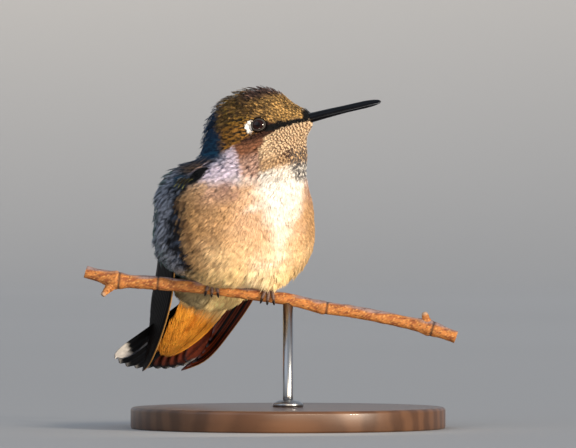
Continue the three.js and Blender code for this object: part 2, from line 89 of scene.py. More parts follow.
# Where each swelling is, how much thicker the twig is there, and how far it spreads.
TWIG_NODES = [(-40.6, 0.75, 2.4), (-31.5, 0.2, 5.0), (8.2, 0.15, 1.6), (33.0, 0.45, 2.6)]
FOOT_ALONG = {"right": -17.8, "left": -4.7}
TOE_RADIUS = 0.42
TOE_HUG = TWIG_RADIUS + TOE_RADIUS + 0.12
# Each toe's angles round the twig at its root and its tip, and how far along the twig each lies.
TOES = [(82, -22, -0.4, -1.35), (82, -34, 0, 0.05), (82, -22, 0.4, 1.45), (98, 200, 0, 0.1)]
CLAW_TURN = 40
SCUTES = 11  # the broad scales along a toe

BASE_RADIUS, BASE_HEIGHT, BASE_EDGE = 37, 5, 0.8
COLLAR_RADIUS, COLLAR_HEIGHT = 3.6, 1.6
ROD_RADIUS = 1.2
SIDES = {"right": -1, "left": 1}

# ---------- small helpers ----------


def unit(v):
    """Vectors brought to a length of 1."""
    return v / np.maximum(np.linalg.norm(v, axis=-1, keepdims=True), 1e-9)


def dot(a, b):
    return np.sum(a * b, axis=-1, keepdims=True)


def span(v):
    """The length of each vector."""
    return np.linalg.norm(v, axis=-1)


def lerp(a, b, t):
    return a + (b - a) * t


def smooth(low, high, x):
    """0 up to low and 1 from high, with a soft step between. low may be the larger of the two."""
    t = np.clip((x - low) / (high - low), 0, 1)
    return t * t * (3 - 2 * t)


def rounded(s, start, cut=0.97):
    """1 up to start, and from there down a quarter of an ellipse towards 0, where s is 1."""
    return np.sqrt(1 - cut * np.maximum(0, (s - start) / (1 - start)) ** 2)


def hump(x, at, spread):
    """1 where x is at the place given, falling off to both sides."""
    return np.exp(-(((x - at) / spread) ** 2))


def one_turn(count):
    """Angles spread evenly round a circle."""
    return np.linspace(0, 2 * math.pi, count, endpoint=False)


def about_z(degrees):
    c, s = math.cos(math.radians(degrees)), math.sin(math.radians(degrees))
    return np.array([[c, -s, 0], [s, c, 0], [0, 0, 1]])


def about_y(degrees):
    c, s = math.cos(math.radians(degrees)), math.sin(math.radians(degrees))
    return np.array([[c, 0, s], [0, 1, 0], [-s, 0, c]])


BIRD_AXES = about_z(TRUNK_TURN)
HEAD_AXES = about_z(HEAD_TURN) @ about_y(-HEAD_PITCH)


def bird_to_row(p):
    return TRUNK_AT + p @ BIRD_AXES.T


def row_to_bird(p):
    return (p - TRUNK_AT) @ BIRD_AXES


def head_to_bird(p):
    return HEAD_AT + p @ HEAD_AXES.T


def bird_to_head(p):
    return (p - HEAD_AT) @ HEAD_AXES


def ripple(p, size, seed):
    """Smooth noise between about -1 and 1, whose lumps are about so many millimetres across."""
    rng = np.random.default_rng(seed)
    waves = unit(rng.normal(size=(7, 3))) * rng.uniform(0.6, 1.6, (7, 1)) * (2 * math.pi / size)
    return 0.6 * np.sin(p @ waves.T + rng.uniform(0, 6.3, 7)).sum(-1) / math.sqrt(3.5)


def spline(points, count):
    """A centripetal Catmull-Rom curve through points, as points at even distances along it."""
    ends = [2 * points[0] - points[1], 2 * points[-1] - points[-2]]
    full = np.vstack([ends[:1], points, ends[1:]])
    dense = []
    for a, b, c, d in zip(full[:-3], full[1:-2], full[2:-1], full[3:]):
        ab, bc, cd = (math.sqrt(np.linalg.norm(q - p)) for p, q in ((a, b), (b, c), (c, d)))
        start = bc * ((b - a) / ab - (c - a) / (ab + bc) + (c - b) / bc)
        end = bc * ((c - b) / bc - (d - b) / (bc + cd) + (d - c) / cd)
        t = np.linspace(0, 1, 40, endpoint=False)[:, None]
        dense.append(b + start * t + (3 * (c - b) - 2 * start - end) * t**2
                     + (2 * (b - c) + start + end) * t**3)
    dense = np.vstack(dense + [points[-1:]])
    run = np.concatenate([[0], np.cumsum(span(np.diff(dense, axis=0)))])
    at = np.linspace(0, run[-1], count)
    return np.stack([np.interp(at, run, dense[:, i]) for i in range(dense.shape[1])], axis=1)


def sample(table, t):
    """The rows of an evenly spaced table at places t from 0 to 1."""
    place = np.clip(t, 0, 1) * (len(table) - 1)
    low = np.minimum(place.astype(int), len(table) - 2)
    return lerp(table[low], table[low + 1], (place - low)[..., None])


# ---------- the body's surface, in the bird's frame ----------

# Each lobe's middle and its radii. The head's are in the head's frame.
HEAD_LOBES = {
    "cranium": ([-0.9, 0, 0.6], [10.0, 9.2, 9.2]),
    "brow": ([4.0, 0, 3.4], [6.2, 5.6, 5.3]),
    "face": ([7.2, 0, -0.6], [6.3, 4.6, 4.2]),
    "bill roots": ([11.0, 0, -0.6], [3.9, 2.2, 2.0]),
    "throat": ([5.0, 0, -6.6], [6.3, 7.2, 6.2]),
}
TRUNK_LOBES = {
    "crop": ([10.0, 3.0, 10.0], [7.8, 9.2, 8.8]),
    "nape": ([2.6, 0, 15.5], [8.8, 9.6, 8.8]),
    "right shoulder": ([-4.5, -9.6, 6.4], [7.2, 7.6, 7.2]),
    "left shoulder": ([-4.5, 9.6, 6.4], [7.2, 7.6, 7.2]),
    "breast": ([2.6, 0.2, 3.0], [14.0, 18.0, 14.2]),
    "back": ([-3.2, 0, 2.4], [13.6, 17.8, 13.8]),
    "belly": ([1.4, 0.9, -4.0], [14.4, 17.8, 10.8]),
    "right flank": ([-6.6, -9.6, -3.2], [7.2, 7.2, 8.4]),
    "left flank": ([-6.6, 9.6, -3.2], [7.2, 7.2, 8.4]),
    "rump": ([-10.2, 0, -8.6], [7.4, 8.4, 7.4]),
    "vent": ([-10.0, 0, -14.4], [7.0, 9.4, 5.4]),
}
THIGH_ABOVE = np.array([0.3, -0.3, 4.4])  # from the twig's middle line, in the row's frame
THIGH_RADII = [2.3, 2.5, 3.3]

TWIG = spline(np.insert(TWIG_LINE, 1, 0.0, axis=1), 600)


def twig_at(x):
    """The twig's middle, direction and upright where it passes x."""
    x = np.asarray(x, float)
    centre = np.stack([x, 0 * x, np.interp(x, TWIG[:, 0], TWIG[:, 2])], axis=-1)
    slope = np.gradient(TWIG[:, 2], TWIG[:, 0])
    way = unit(np.stack([0 * x + 1, 0 * x, np.interp(x, TWIG[:, 0], slope)], axis=-1))
    return centre, way, np.stack([-way[..., 2], 0 * x, way[..., 0]], axis=-1)


def twig_radius(x):
    return TWIG_RADIUS + sum(more * hump(x, at, spread) for at, more, spread in TWIG_NODES)


THIGHS = {side: row_to_bird(twig_at(x)[0] + THIGH_ABOVE) for side, x in FOOT_ALONG.items()}
LOBES = [(head_to_bird(np.array(at, float)), HEAD_AXES, np.array(radii))
         for at, radii in HEAD_LOBES.values()]
LOBES += [(np.array(at, float), np.eye(3), np.array(radii)) for at, radii in TRUNK_LOBES.values()]
LOBES += [(at, BIRD_AXES.T, np.array(THIGH_RADII)) for at in THIGHS.values()]


def outside_lobe(p, lobe):
    centre, axes, radii = lobe
    q = ((p - centre) @ axes) / radii
    size = span(q)
    return size * (size - 1) / np.maximum(span(q / radii), 1e-6)


def outside_body(p):
    """About how far points lie outside the tips of the coat, with the lobes run together."""
    level = outside_lobe(p, LOBES[0])
    for lobe in LOBES[1:]:
        other = outside_lobe(p, lobe)
        near = np.maximum(BLEND - np.abs(level - other), 0) / BLEND
        level = np.minimum(level, other) - near * near * BLEND / 4
    return level


def slope_at(p):
    reach = 0.05
    steps = np.eye(3) * reach
    sides = [outside_body(p + step) - outside_body(p - step) for step in steps]
    return np.stack(sides, axis=-1) / (2 * reach)


def settle(p, level, rounds=2):
    """Moves points to where they lie so far outside the coat's tips."""
    for _ in range(rounds):
        slope = slope_at(p)
        miss = np.clip(outside_body(p) - level, -2, 2)
        p = p - miss[..., None] * slope / np.maximum(dot(slope, slope), 0.2)
    return p


def cast(centre, ways):
    """Where rays from a point inside leave the coat."""
    near = np.zeros(len(ways))
    inside = np.ones(len(ways), bool)
    for _ in range(84):
        inside &= outside_body(centre + ways * (near + 0.5)[:, None]) < 0
        near = near + 0.5 * inside
        if not inside.any():
            break
    far = near + 0.5
    for _ in range(10):
        middle = (near + far) / 2
        within = outside_body(centre + ways * middle[:, None]) < 0
        near = np.where(within, middle, near)
        far = np.where(within, far, middle)
    return centre + ways * near[:, None]


def height_up_neck(p):
    return p @ unit(NECK_LINE)


def off_twig(p, room):
    """Points of the bird, pushed out of the twig with some room to spare."""
    row = bird_to_row(p)
    centre, _, up = twig_at(row[..., 0])
    away = row - centre
    lift = dot(away, up) * up
    across = away * np.array([0.0, 1.0, 0.0])
    out = lift + across
    distance = np.linalg.norm(out, axis=-1, keepdims=True)
    need = (twig_radius(row[..., 0]) + room)[..., None]
    ends = (row[..., :1] > TWIG[0, 0]) & (row[..., :1] < TWIG[-1, 0])
    push = np.where((distance < need) & ends, need / np.maximum(distance, 1e-3) - 1, 0)
    return row_to_bird(row + push * out)


def turn_of(p):
    """Degrees round the trunk from the breast, which is at 0, towards the bird's left."""
    return np.degrees(np.arctan2(p[..., 1], p[..., 0] + 2))


def head_share(p):
    """1 on the head, 0 on the trunk."""
    return smooth(NECK_HEIGHT - 3, NECK_HEIGHT + 4, height_up_neck(p))


TAIL_PULL = (-33.0, 8.0, -23.0)  # the trunk's feathers point to here, on the side where they grow


def lie(p):
    """Which way the feathers point: back from the bill on the head, towards the tail on the trunk."""
    from_bill = (bird_to_head(p) - np.array([BILL_BASE + 4.5, 0, BILL_LEVEL])) @ HEAD_AXES.T
    x, y, z = (p[..., i] for i in range(3))
    to_tail = np.stack([TAIL_PULL[0] - x, TAIL_PULL[1] * np.tanh(y / 6) - y, TAIL_PULL[2] - z], axis=-1)
    way = lerp(unit(to_tail), unit(from_bill), head_share(p)[..., None])
    up = unit(slope_at(p))
    return unit(way - dot(way, up) * up)


def coat_depth(p):
    """How far the skin lies under the coat's tips."""
    h = bird_to_head(p)
    face = smooth(-4, 9, h[..., 0]) * head_share(p)
    return lerp(lerp(1.1, 0.8, head_share(p)), 0.42, face)


# ---------- colours of the plumage ----------


def tone(code):
    """A colour written as six hex digits, as linear red, green and blue."""
    value = np.array([int(code[i:i + 2], 16) for i in (0, 2, 4)]) / 255
    return np.where(value <= 0.04045, value / 12.92, ((value + 0.055) / 1.055) ** 2.4)


TONES = {name: tone(code) for name, code in {
    "gold": "d8aa66", "bronze": "97713c", "umber": "22160d", "olive": "8a6c2a", "dusk": "2b2114",
    "plum": "6b5048", "nape": "122c45", "teal": "1c4a66", "ear": "9a6c2e", "back": "2c5a45",
    "black": "09090a", "white": "fbf5ee", "cheek": "966448", "cheek_dark": "452a1f",
    "lavender": "e2d4e4", "rose": "d0a894", "cream": "e2ba94", "throat": "ffdcb2", "streak": "4a2a1b",
    "slate": "3f3e44", "breast": "fff6ea", "belly": "f4d09c", "tan": "c09461", "brown": "63432b",
    "shade": "15161b", "blue": "1d4258", "steel": "566276", "fringe": "989daa", "downy": "ffdf9e",
    "grey": "6f6a58", "orange": "ffab3c", "rust": "d87a1e", "feather": "0d0908",
    "feather_edge": "33190f", "quill": "c08c4c", "maroon_sheen": "8a3c20", "tail": "0b0a0b",
    "scapular": "8f8b4a", "smoke": "a07c6e", "eye": "070303", "iris": "250d07", "claw": "1c1512",
    "toe": "6d5347", "toe_seam": "3f312c", "toe_root": "5d463c", "bark": "bd7639", "bark_red": "935127",
    "bark_pale": "e0a25a", "bark_top_shade": "8f7f80", "bark_spot": "3b2418", "bark_ring": "241611",
    "bark_end": "b9a48e",
}.items()}


def blend(base, over, share):
    """One colour laid over another, point by point."""
    return lerp(base, over, np.clip(share, 0, 1)[..., None])


def laid(base, *layers):
    """Tones laid over a colour one after another, each given as its name and its share."""
    for name, share in layers:
        base = blend(base, TONES[name], share)
    return base


def plain(name, shape):
    """One tone at every point of an array of the given shape."""
    return TONES[name] * np.ones(tuple(shape) + (3,))


SPOT_AT, SPOT_RADII, SPOT_TILT = (1.65, 0.6), (1.0, 1.55), -22
LORE = ((5.2, -0.7), (13.5, -0.7), (0.95, 0.5))  # the dark stripe before the eye: its ends and widths
# The crown comes down to the second row's z at the first row's x.
CROWN_EDGE = ([-8, -2, 2, 5.5, 8, 13], [1.0, 3.4, 3.0, 1.0, -0.3, -0.1])
# The throat reaches back to the second row's x at the first row's z.
THROAT_EDGE = ([-10, -8.5, -5.6, -2.6, -1.2], [0.6, 1.2, 2.0, 4.4, 8.4])
GAP_AT = np.array([4.4, -13.7, 11.5])  # where the scapular feathers part and the shade below shows
GAP_RADII = np.array([2.1, 3.0, 3.3])


def eye_spot(h):
    """1 on the white spot behind the eye, 0 off it."""
    x, z = h[..., 0] - SPOT_AT[0], h[..., 2] - SPOT_AT[1]
    c, s = math.cos(math.radians(SPOT_TILT)), math.sin(math.radians(SPOT_TILT))
    q = np.hypot((c * x + s * z) / SPOT_RADII[0], (c * z - s * x) / SPOT_RADII[1])
    return 1 - smooth(0.88, 1.12, q)


def stripe(h, start, end, wide):
    """1 on a stripe between two places seen from the side of the head."""
    line = np.array(end) - np.array(start)
    p = h[..., [0, 2]] - np.array(start)
    t = np.clip(dot(p, line)[..., 0] / (line @ line), 0, 1)
    away = span(p - t[..., None] * line)
    return 1 - smooth(0.7, 1.15, away / lerp(wide[0], wide[1], t))


def head_plumage(p):
    """The colours of a head feather's edge and heart, and the mark that the heart makes on it.

    A mark is how far it reaches to each side, and where along the feather it starts and ends.
    """
    h = bird_to_head(p)
    x, y, z = h[..., 0], np.abs(h[..., 1]), h[..., 2]
    edge = laid(plain("throat", x.shape), ("tan", smooth(-6.5, -8.5, z) * 0.55),
                ("breast", smooth(-9.6, -11.2, z)))
    heart = blend(plain("streak", x.shape), edge * 0.8, smooth(-9.2, -10.6, z))
    heart = blend(heart, edge * 0.6, smooth(7.0, 3.5, x) * 0.85)
    low = smooth(-6.0, -8.0, z) * smooth(6.5, 8.5, x)
    heart = laid(heart, ("slate", low * smooth(7.0, 4.0, y)))
    mark = blend(np.ones(p.shape) * [1.2, 0.52, 0.8], np.array([0.9, 0.2, 0.98]),
                 low * smooth(-0.1, 0.2, ripple(h, 2.4, 2)))

    cheek = smooth(0.5, -0.5, x - np.interp(z, *THROAT_EDGE) + 0.4 * ripple(h, 2.5, 3))
    side = laid(plain("cheek", x.shape), ("rose", smooth(-4.5, -7.5, z)),
                ("lavender", smooth(-3.0, -4.6, x) * smooth(-1.5, -3.2, z)),
                ("cheek_dark", smooth(-4.0, -2.0, z) * smooth(-3.5, -1, x)))
    ear = smooth(-0.5, 0.5, z + 1.3 - 0.28 * (x - 1) + 0.3 * ripple(h, 2, 4)) * smooth(4.5, 2.5, x)
    ear_tone = laid(plain("ear", x.shape), ("olive", smooth(1.0, 4.0, z)))
    crown = smooth(-0.35, 0.35, z - np.interp(x, *CROWN_EDGE) + 0.25 * ripple(h, 2, 5))
    top = laid(plain("bronze", x.shape), ("gold", smooth(1.0, 9.0, x) * smooth(8.6, 5.5, z)),
               # Partly painted sheen: olive patches over the back of the crown stand for glints of its
               # green feathers.
               ("olive", smooth(3, -3, x) * smooth(-0.2, 0.6, ripple(h, 2.2, 15))),
               ("plum", smooth(6.0, 8.2, z) * smooth(-1, 3, x)))
    top = blend(top, TONES["umber"] * 1.6, smooth(0.1, 0.8, ripple(h, 1.9, 16)) * smooth(9, 4, x) * 0.75)
    for share, over_edge, over_heart, over_mark in (
        (cheek, side, side * 0.5, [0.3, -1, 0.85]),
        (ear, ear_tone, TONES["dusk"], [0.42, -1, 0.88]),
        (crown, top, lerp(TONES["umber"], top, 0.12), [0.5, -1, 0.86]),
    ):
        edge = blend(edge, over_edge, share)
        heart = blend(heart, over_heart, share)
        mark = blend(mark, np.array(over_mark), share)

    # Painted shade: the nape is painted the dark blue it shows in shade, where its feathers are
    # green-bronze in full light.
    nape = smooth(-5.6, -8.4, x - 0.1 * z + 0.7 * ripple(h, 3, 6)) * smooth(-9, -5, z + 0.2 * x)
    edge = blend(edge, laid(plain("teal", x.shape), ("nape", smooth(-2, 3, z))), nape)
    heart = laid(heart, ("nape", nape))

    ring = 1 - smooth(1.04, 1.16, np.hypot((x - EYE_AT[0]) / 1.8, (z - EYE_AT[2]) / 1.45))
    dark = np.maximum(stripe(h, *LORE), ring * smooth(2.0, 3.2, x)) * smooth(0.5, 1.5, y)
    dark = np.maximum(dark, smooth(12.9, 13.5, x) * smooth(-1.3, -0.9, z))
    spot = eye_spot(h)
    edge, heart = (laid(colour, ("black", dark), ("white", spot)) for colour in (edge, heart))
    return edge, heart, mark


def trunk_plumage(p):
    """The same for the trunk's feathers. turn is the angle from the breast round to either side."""
    x, y, z = p[..., 0], p[..., 1], p[..., 2]
    turn = np.abs(turn_of(p)) + 4 * ripple(p, 6, 11)
    lean = np.abs(turn_of(p - np.array([0, 2.4, 0]))) + 5 * ripple(p, 5, 19) + 14 * smooth(4, -1, z)
    edge = laid(
        plain("breast", x.shape),
        ("cream", smooth(8, 34, lean) * smooth(11, 8, z) * smooth(-14, -5, z)),
        ("belly", smooth(0, -9, z) * (0.45 + 0.55 * smooth(5, 35, turn))),
        ("tan", smooth(18, 42, turn) * smooth(10, 6, z) * smooth(-9, -2, z) * 0.75),
        ("rose", smooth(28, 46, turn) * smooth(2, 8, z) * 0.7),
        ("lavender", smooth(24, 40, turn) * smooth(8, 12, z)),
        ("smoke", smooth(22, 31, turn) * smooth(46, 38, turn) * smooth(4, 7, z) * smooth(11.5, 9.5, z)
         * (0.75 + 0.25 * ripple(p, 3, 18))),
        ("cream", smooth(50, 54, turn) * smooth(5, 7.5, z) * smooth(11, 9, z) * 0.8),
        ("tan", smooth(46, 64, turn) * smooth(11, 6, z) * 0.8),
        ("brown", 0.6 * (smooth(0.0, 0.7, ripple(p, 4.5, 12)) * smooth(38, 62, turn) * smooth(9, 5, z))),
    )
    pale = edge
    turn = turn + 5 * ripple(p, 1.6, 17)
    high = smooth(0, 5, z)
    # Painted shade: the shoulder is painted the dark blue that its green feathers show in shade.
    shoulder = smooth(8, 11, z) * smooth(66, 74, turn) * smooth(140, 110, turn)
    edge = laid(
        edge,
        # Partly painted shadow: the shade tone darkens the side where it meets the folded wing, whose own
        # feathers are dark too. Steel streaks lie over it.
        ("shade", smooth(68, 77, turn)),
        ("steel", smooth(70, 80, turn) * smooth(-0.1, 0.5, ripple(p, 2.6, 14)) * 0.8),
        ("fringe", smooth(83 - 3 * high, 93 - 5 * high, turn)),
        ("back", smooth(98, 126, turn + 7 * ripple(p, 4, 20))),
        ("blue", shoulder * np.maximum(smooth(97, 90, turn), smooth(12, 14, z))),
    )
    below = smooth(-10, -12.5, z)
    edge = blend(edge, lerp(pale, TONES["downy"], 0.5), below * smooth(112, 92, turn))
    vent = smooth(-12, -14, z) * smooth(2, -3, x) * smooth(-16, -13, x)
    edge = laid(
        edge,
        ("back", below * smooth(-13, -16, x)),
        ("downy", vent),
        # Painted shadow: the grey patch is the shade that falls on the right side of the vent.
        ("grey", vent * smooth(2.5, 5, -y) * smooth(-15, -16.5, z) * 0.75),
    )
    # The hearts there get the same painted shadow.
    heart = laid(edge * 0.6, ("shade", smooth(62, 76, turn) * (1 - vent) * 0.6))
    heart = blend(heart, edge * 0.88, np.maximum(smooth(50, 30, turn), vent))
    return edge, heart, np.ones(p.shape) * [0.36, -1, 0.85]


def plumage(p):
    """The edge, heart and mark of a feather that ends at each point, on skin and coat alike."""
    share = smooth(NECK_HEIGHT - 1.5, NECK_HEIGHT + 3, height_up_neck(p))
    head, trunk = head_plumage(p), trunk_plumage(p)
    edge, heart, mark = (blend(low, high, share) for low, high in zip(trunk, head))
    # Painted shade: the hollow where the scapulars part is painted black.
    gap = smooth(1.15, 0.8, span((p - GAP_AT) / GAP_RADII))
    return laid(edge, ("black", gap)), laid(heart, ("black", gap)), mark


# ---------- the skin's unwrap, which the coat's patches lie on too ----------

ISLAND, MARGIN = 0.44, 0.02


def unwrap(p, on_head):
    """Longitude and latitude about the point each half is cast from, the two halves side by side."""
    h = unit(bird_to_head(p) - HEAD_CAST)
    t = unit(p - TRUNK_CAST)
    turn = np.where(on_head, np.arctan2(h[..., 1], h[..., 2]), np.arctan2(t[..., 1], t[..., 0]))
    rise = np.where(on_head, np.arccos(np.clip(h[..., 0], -1, 1)), np.arccos(np.clip(-t[..., 2], -1, 1)))
    u = MARGIN + ISLAND * (turn / math.pi + 1) / 2 + 0.5 * ~on_head
    return np.stack([u, MARGIN + (1 - 2 * MARGIN) * rise / math.pi], axis=-1)


# ---------- meshes and materials ----------


def new_piece(name, points, faces, material, smooth_faces=True):
    """A mesh in the scene. Points are in the row's frame; faces all have the same count of corners."""
    mesh = bpy.data.meshes.new(name)
    mesh.vertices.add(len(points))
    mesh.vertices.foreach_set("co", (points * MM).astype(np.float32).ravel())
    mesh.loops.add(faces.size)
    mesh.loops.foreach_set("vertex_index", faces.astype(np.int32).ravel())
    mesh.polygons.add(len(faces))
    mesh.polygons.foreach_set("loop_start", np.arange(0, faces.size, faces.shape[1], dtype=np.int32))
    mesh.polygons.foreach_set("use_smooth", np.full(len(faces), smooth_faces))
    mesh.update(calc_edges=True)
    mesh.materials.append(MATERIALS[material])
    piece = bpy.data.objects.new(name, mesh)
    bpy.context.collection.objects.link(piece)
    return piece


def body_piece(name, points, faces, material, replaces, paint, uv, smooth_faces=True):
    """A piece of the model, with a colour for each point and a place on the unwrap for each corner."""
    piece = new_piece(name, points, faces, material, smooth_faces)
    colours = np.concatenate([np.clip(paint, 0, 1), np.ones((len(points), 1))], axis=1)
    layer = piece.data.color_attributes.new("plumage", "FLOAT_COLOR", "POINT")
    layer.data.foreach_set("color", colours.astype(np.float32).ravel())
    layer = piece.data.uv_layers.new(name="OFBake")
    layer.data.foreach_set("uv", uv.astype(np.float32).ravel())
    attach(piece, "root")
    if replaces:
        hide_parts(*replaces)


class Finish:
    """A material's node tree, with a few short ways to add to it."""

    def __init__(self, name, roughness, **sockets):
        self.material = bpy.data.materials.new(name)
        self.material.use_nodes = True
        self.nodes = self.material.node_tree.nodes
        self.links = self.material.node_tree.links
        self.shader = self.nodes["Principled BSDF"]
        self.shader.inputs["Roughness"].default_value = roughness
        for socket, value in sockets.items():
            self.shader.inputs[socket.replace("_", " ")].default_value = value

    def node(self, kind, **values):
        node = self.nodes.new(kind)
        for key, value in values.items():
            if key in node.inputs:
                node.inputs[key].default_value = value
            else:
                setattr(node, key, value)
        return node

    def link(self, source, target):
        self.links.new(source, target)

    def place(self, stretch=(1, 1, 1)):
        """Object coordinates, stretched along the axes."""
        mapping = self.node("ShaderNodeMapping")
        mapping.inputs["Scale"].default_value = stretch
        self.link(self.node("ShaderNodeTexCoord").outputs["Object"], mapping.inputs["Vector"])
        return mapping.outputs["Vector"]

    def noise(self, scale, detail=3.0, stretch=(1, 1, 1)):
        noise = self.node("ShaderNodeTexNoise", Scale=scale, Detail=detail)
        self.link(self.place(stretch), noise.inputs["Vector"])
        return noise.outputs["Fac"]

    def ramp(self, factor, stops):
        """Colours, as stops of place and linear colour."""
        ramp = self.node("ShaderNodeValToRGB")
        elements = ramp.color_ramp.elements
        while len(elements) < len(stops):
            elements.new(0.5)
        for element, (place, colour) in zip(elements, stops):
            element.position = place
            element.color = (*colour, 1)
        self.link(factor, ramp.inputs["Fac"])
        return ramp.outputs["Color"]

    def multiply(self, first, second):
        mix = self.node("ShaderNodeMix", data_type="RGBA", blend_type="MULTIPLY")
        mix.inputs[0].default_value = 1.0
        self.link(first, mix.inputs[6])
        self.link(second, mix.inputs[7])
        return mix.outputs[2]

    def colour(self, source):
        self.link(source, self.shader.inputs["Base Color"])

    def bump(self, noise, strength, depth):
        """Raises the surface by noise, which is given by its scale, detail and stretch."""
        bump = self.node("ShaderNodeBump", Strength=strength, Distance=depth)
        self.link(self.noise(*noise), bump.inputs["Height"])
        self.link(bump.outputs["Normal"], self.shader.inputs["Normal"])


def painted(name, roughness, grain, low, high, bump=None, **sockets):
    """A finish that takes the piece's painted colours, varied from low to high by fine noise."""
    finish = Finish(name, roughness, **sockets)
    paint = finish.node("ShaderNodeAttribute", attribute_name="plumage")
    fleck = finish.ramp(finish.noise(grain), [(0.3, (low,) * 3), (0.7, (high,) * 3)])
    finish.colour(finish.multiply(paint.outputs["Color"], fleck))
    if bump:
        finish.bump(*bump)
    return finish.material


def mottled(name, roughness, noise, stops, bump=None, **sockets):
    """A finish whose colours are run together by noise."""
    finish = Finish(name, roughness, **sockets)
    finish.colour(finish.ramp(finish.noise(*noise), stops))
    if bump:
        finish.bump(*bump)
    return finish.material


# ---------- feathers made of barbs ----------

RACHIS_STEPS = 6
BARB_FACES = np.array([[0, 1, 3], [0, 3, 2], [0, 2, 1], [4, 3, 1], [4, 2, 3], [4, 1, 2]])
PATCH = 0.003  # how far one feather's patch reaches on the unwrap
VANED_SPREAD = 0.34  # how far towards the tip a vaned feather's barbs run
RAGGED = 0.05  # how unevenly the barbs end


def feather_lines(roots, length, depth, lift, sway):
    """The middle line of each feather, from the skin out to the coat's tips: points, sides and ups."""
    p = settle(roots, -depth)
    way = lie(roots)
    points, sides, ups = [], [], []
    for k in range(RACHIS_STEPS):
        if k:
            t = k / (RACHIS_STEPS - 1)
            level = -depth * (1 - t) ** 2 + lift * t * t
            p = settle(p + way * (length / (RACHIS_STEPS - 1))[:, None], level)
        up = unit(slope_at(p))
        side = np.cross(up, way)
        way = unit(way + side * (sway / RACHIS_STEPS)[:, None])
        way = unit(way - dot(way, up) * up)
        points.append(p)
        sides.append(unit(np.cross(up, way)))
        ups.append(up)
    return [np.stack(rows, axis=1) for rows in (points, sides, ups)]


def on_feather(lines, v):
    """The middle line's points, sides and ups at places v along each feather."""
    place = np.clip(v, 0, 1) * (RACHIS_STEPS - 1)
    low = np.minimum(place.astype(int), RACHIS_STEPS - 2)
    part = (place - low)[..., None]
    row = np.arange(len(v))[:, None]
    found = [lerp(line[row, low], line[row, low + 1], part) for line in lines]
    beyond = (v - np.clip(v, 0, 1))[..., None]
    found[0] = found[0] + beyond * (lines[0][:, -1:] - lines[0][:, -2:-1]) * (RACHIS_STEPS - 1)
    return found


class Coat:
    """Feathers of one part of the coat, gathered into one mesh."""

    def __init__(self):
        self.points, self.paint, self.uv = [], [], []

    def vaned(self, count, barbs):
        """Barbs that leave the quill to both sides, out to the rim of a rounded feather."""
        rank = np.repeat(np.arange(barbs // 2), 2)[None]
        sign = np.tile([-1.0, 1.0], barbs // 2)[None]
        v0 = 0.04 + 0.88 * (rank + RNG.uniform(0, 1, (count, barbs))) / (barbs // 2)
        v2 = v0 + VANED_SPREAD * (1 - 0.55 * v0) + RAGGED * RNG.normal(size=v0.shape)
        outline = np.sin(math.pi * np.clip(v2, 0.02, 1) ** 0.8) ** 0.55
        outline = np.maximum(outline, 0.16 * RNG.uniform(0, 1, v0.shape))
        u2 = sign * outline * (1 + RAGGED * RNG.normal(size=v0.shape))
        return v0, v2, 0 * u2, u2

    def loose(self, count, barbs, spread=0.45, flare=1.1):
        """Downy barbs, side by side and nearly along the feather, that end here and there."""
        rank = (np.arange(barbs) + RNG.uniform(0, 1, (count, barbs))) / barbs
        u0 = 1.7 * rank - 0.85
        u2 = u0 * flare + RAGGED * RNG.normal(size=u0.shape)
        room = (1 - spread) * np.sqrt(np.maximum(1.02 - u0**2, 0.1))
        v0 = room * RNG.permuted(rank, axis=1)
        return v0, v0 + spread * RNG.uniform(0.85, 1.1, v0.shape), u0, u2

    def add(self, lines, half, barbs, wide, colours, anchor, kind="vaned", cup=0.12, shine=0.1, vary=0.08,
            ruffle=0.04, **shape):
        """Dresses each middle line with barbs to both sides. half is each feather's half-width.

        colours gives the edge, heart and mark of a feather at each point that it is asked about.
        """
        v0, v2, u0, u2 = getattr(self, kind)(len(half), barbs, **shape)
        v1, u1 = lerp(v0, v2, 0.48), lerp(u0, u2, 0.6)
        start, side0, up0 = on_feather(lines, v0)
        middle, side1, up1 = on_feather(lines, v1)
        end, side2, up2 = on_feather(lines, v2)
        half = half[:, None, None]
        start = start + side0 * u0[..., None] * half - up0 * (cup * half * u0[..., None] ** 2)
        rise = ruffle * RNG.uniform(0, 1, v0.shape)[..., None]
        middle = middle + side1 * u1[..., None] * half + up1 * (rise - cup * half * u1[..., None] ** 2)
        end = end + side2 * u2[..., None] * half + up2 * (rise - cup * half * u2[..., None] ** 2)
        across = unit(np.cross(up1, end - start)) * (wide / 2)
        ridge = middle + up1 * (wide * 0.26)
        shape = np.stack([start, middle - across, middle + across, ridge, end], axis=2)
        u = np.stack([u0, u1, u1, u1, u2], axis=2)
        v = np.stack([v0, v1, v1, v1, v2], axis=2)
        edge, heart, mark = colours(end)
        wing, first, last = (mark[..., None, i] for i in range(3))
        core = 1 - smooth(wing * 0.75, wing * 1.3, np.abs(u))
        core = core * smooth(first - 0.06, first + 0.06, v) * smooth(last + 0.07, last - 0.07, v)
        tint = lerp(edge[:, :, None], heart[:, :, None], core[..., None])
        each = 1 + vary * RNG.normal(size=(len(v0), 1)).clip(-2, 2)
        each = each * (1 + shine * RNG.normal(size=v0.shape))
        # Painted shade: each barb is darker towards the feather's root, where the feathers over it shade
        # it.
        light = (0.82 + 0.18 * smooth(0, 0.6, v)) * each[..., None]
        self.points.append(shape.reshape(-1, 3))
        self.paint.append((tint * light[..., None]).reshape(-1, 3))
        corner = np.stack([u / 2, v - 0.5], axis=-1) * PATCH
        self.uv.append((anchor[:, None, None] + corner).reshape(-1, 2))

    def build(self, name, material, slot, replaces=(), clear=True):
        points = np.concatenate(self.points)
        if clear:
            points = off_twig(points, 0.04)
        faces = (np.arange(len(points) // 5)[:, None, None] * 5 + BARB_FACES).reshape(-1, 3)
        uv = np.clip(np.concatenate(self.uv), 0.001, 0.999)[faces.ravel()]
        body_piece(name, bird_to_row(points), faces, material, replaces,
                   np.concatenate(self.paint), uv, smooth_faces=False)


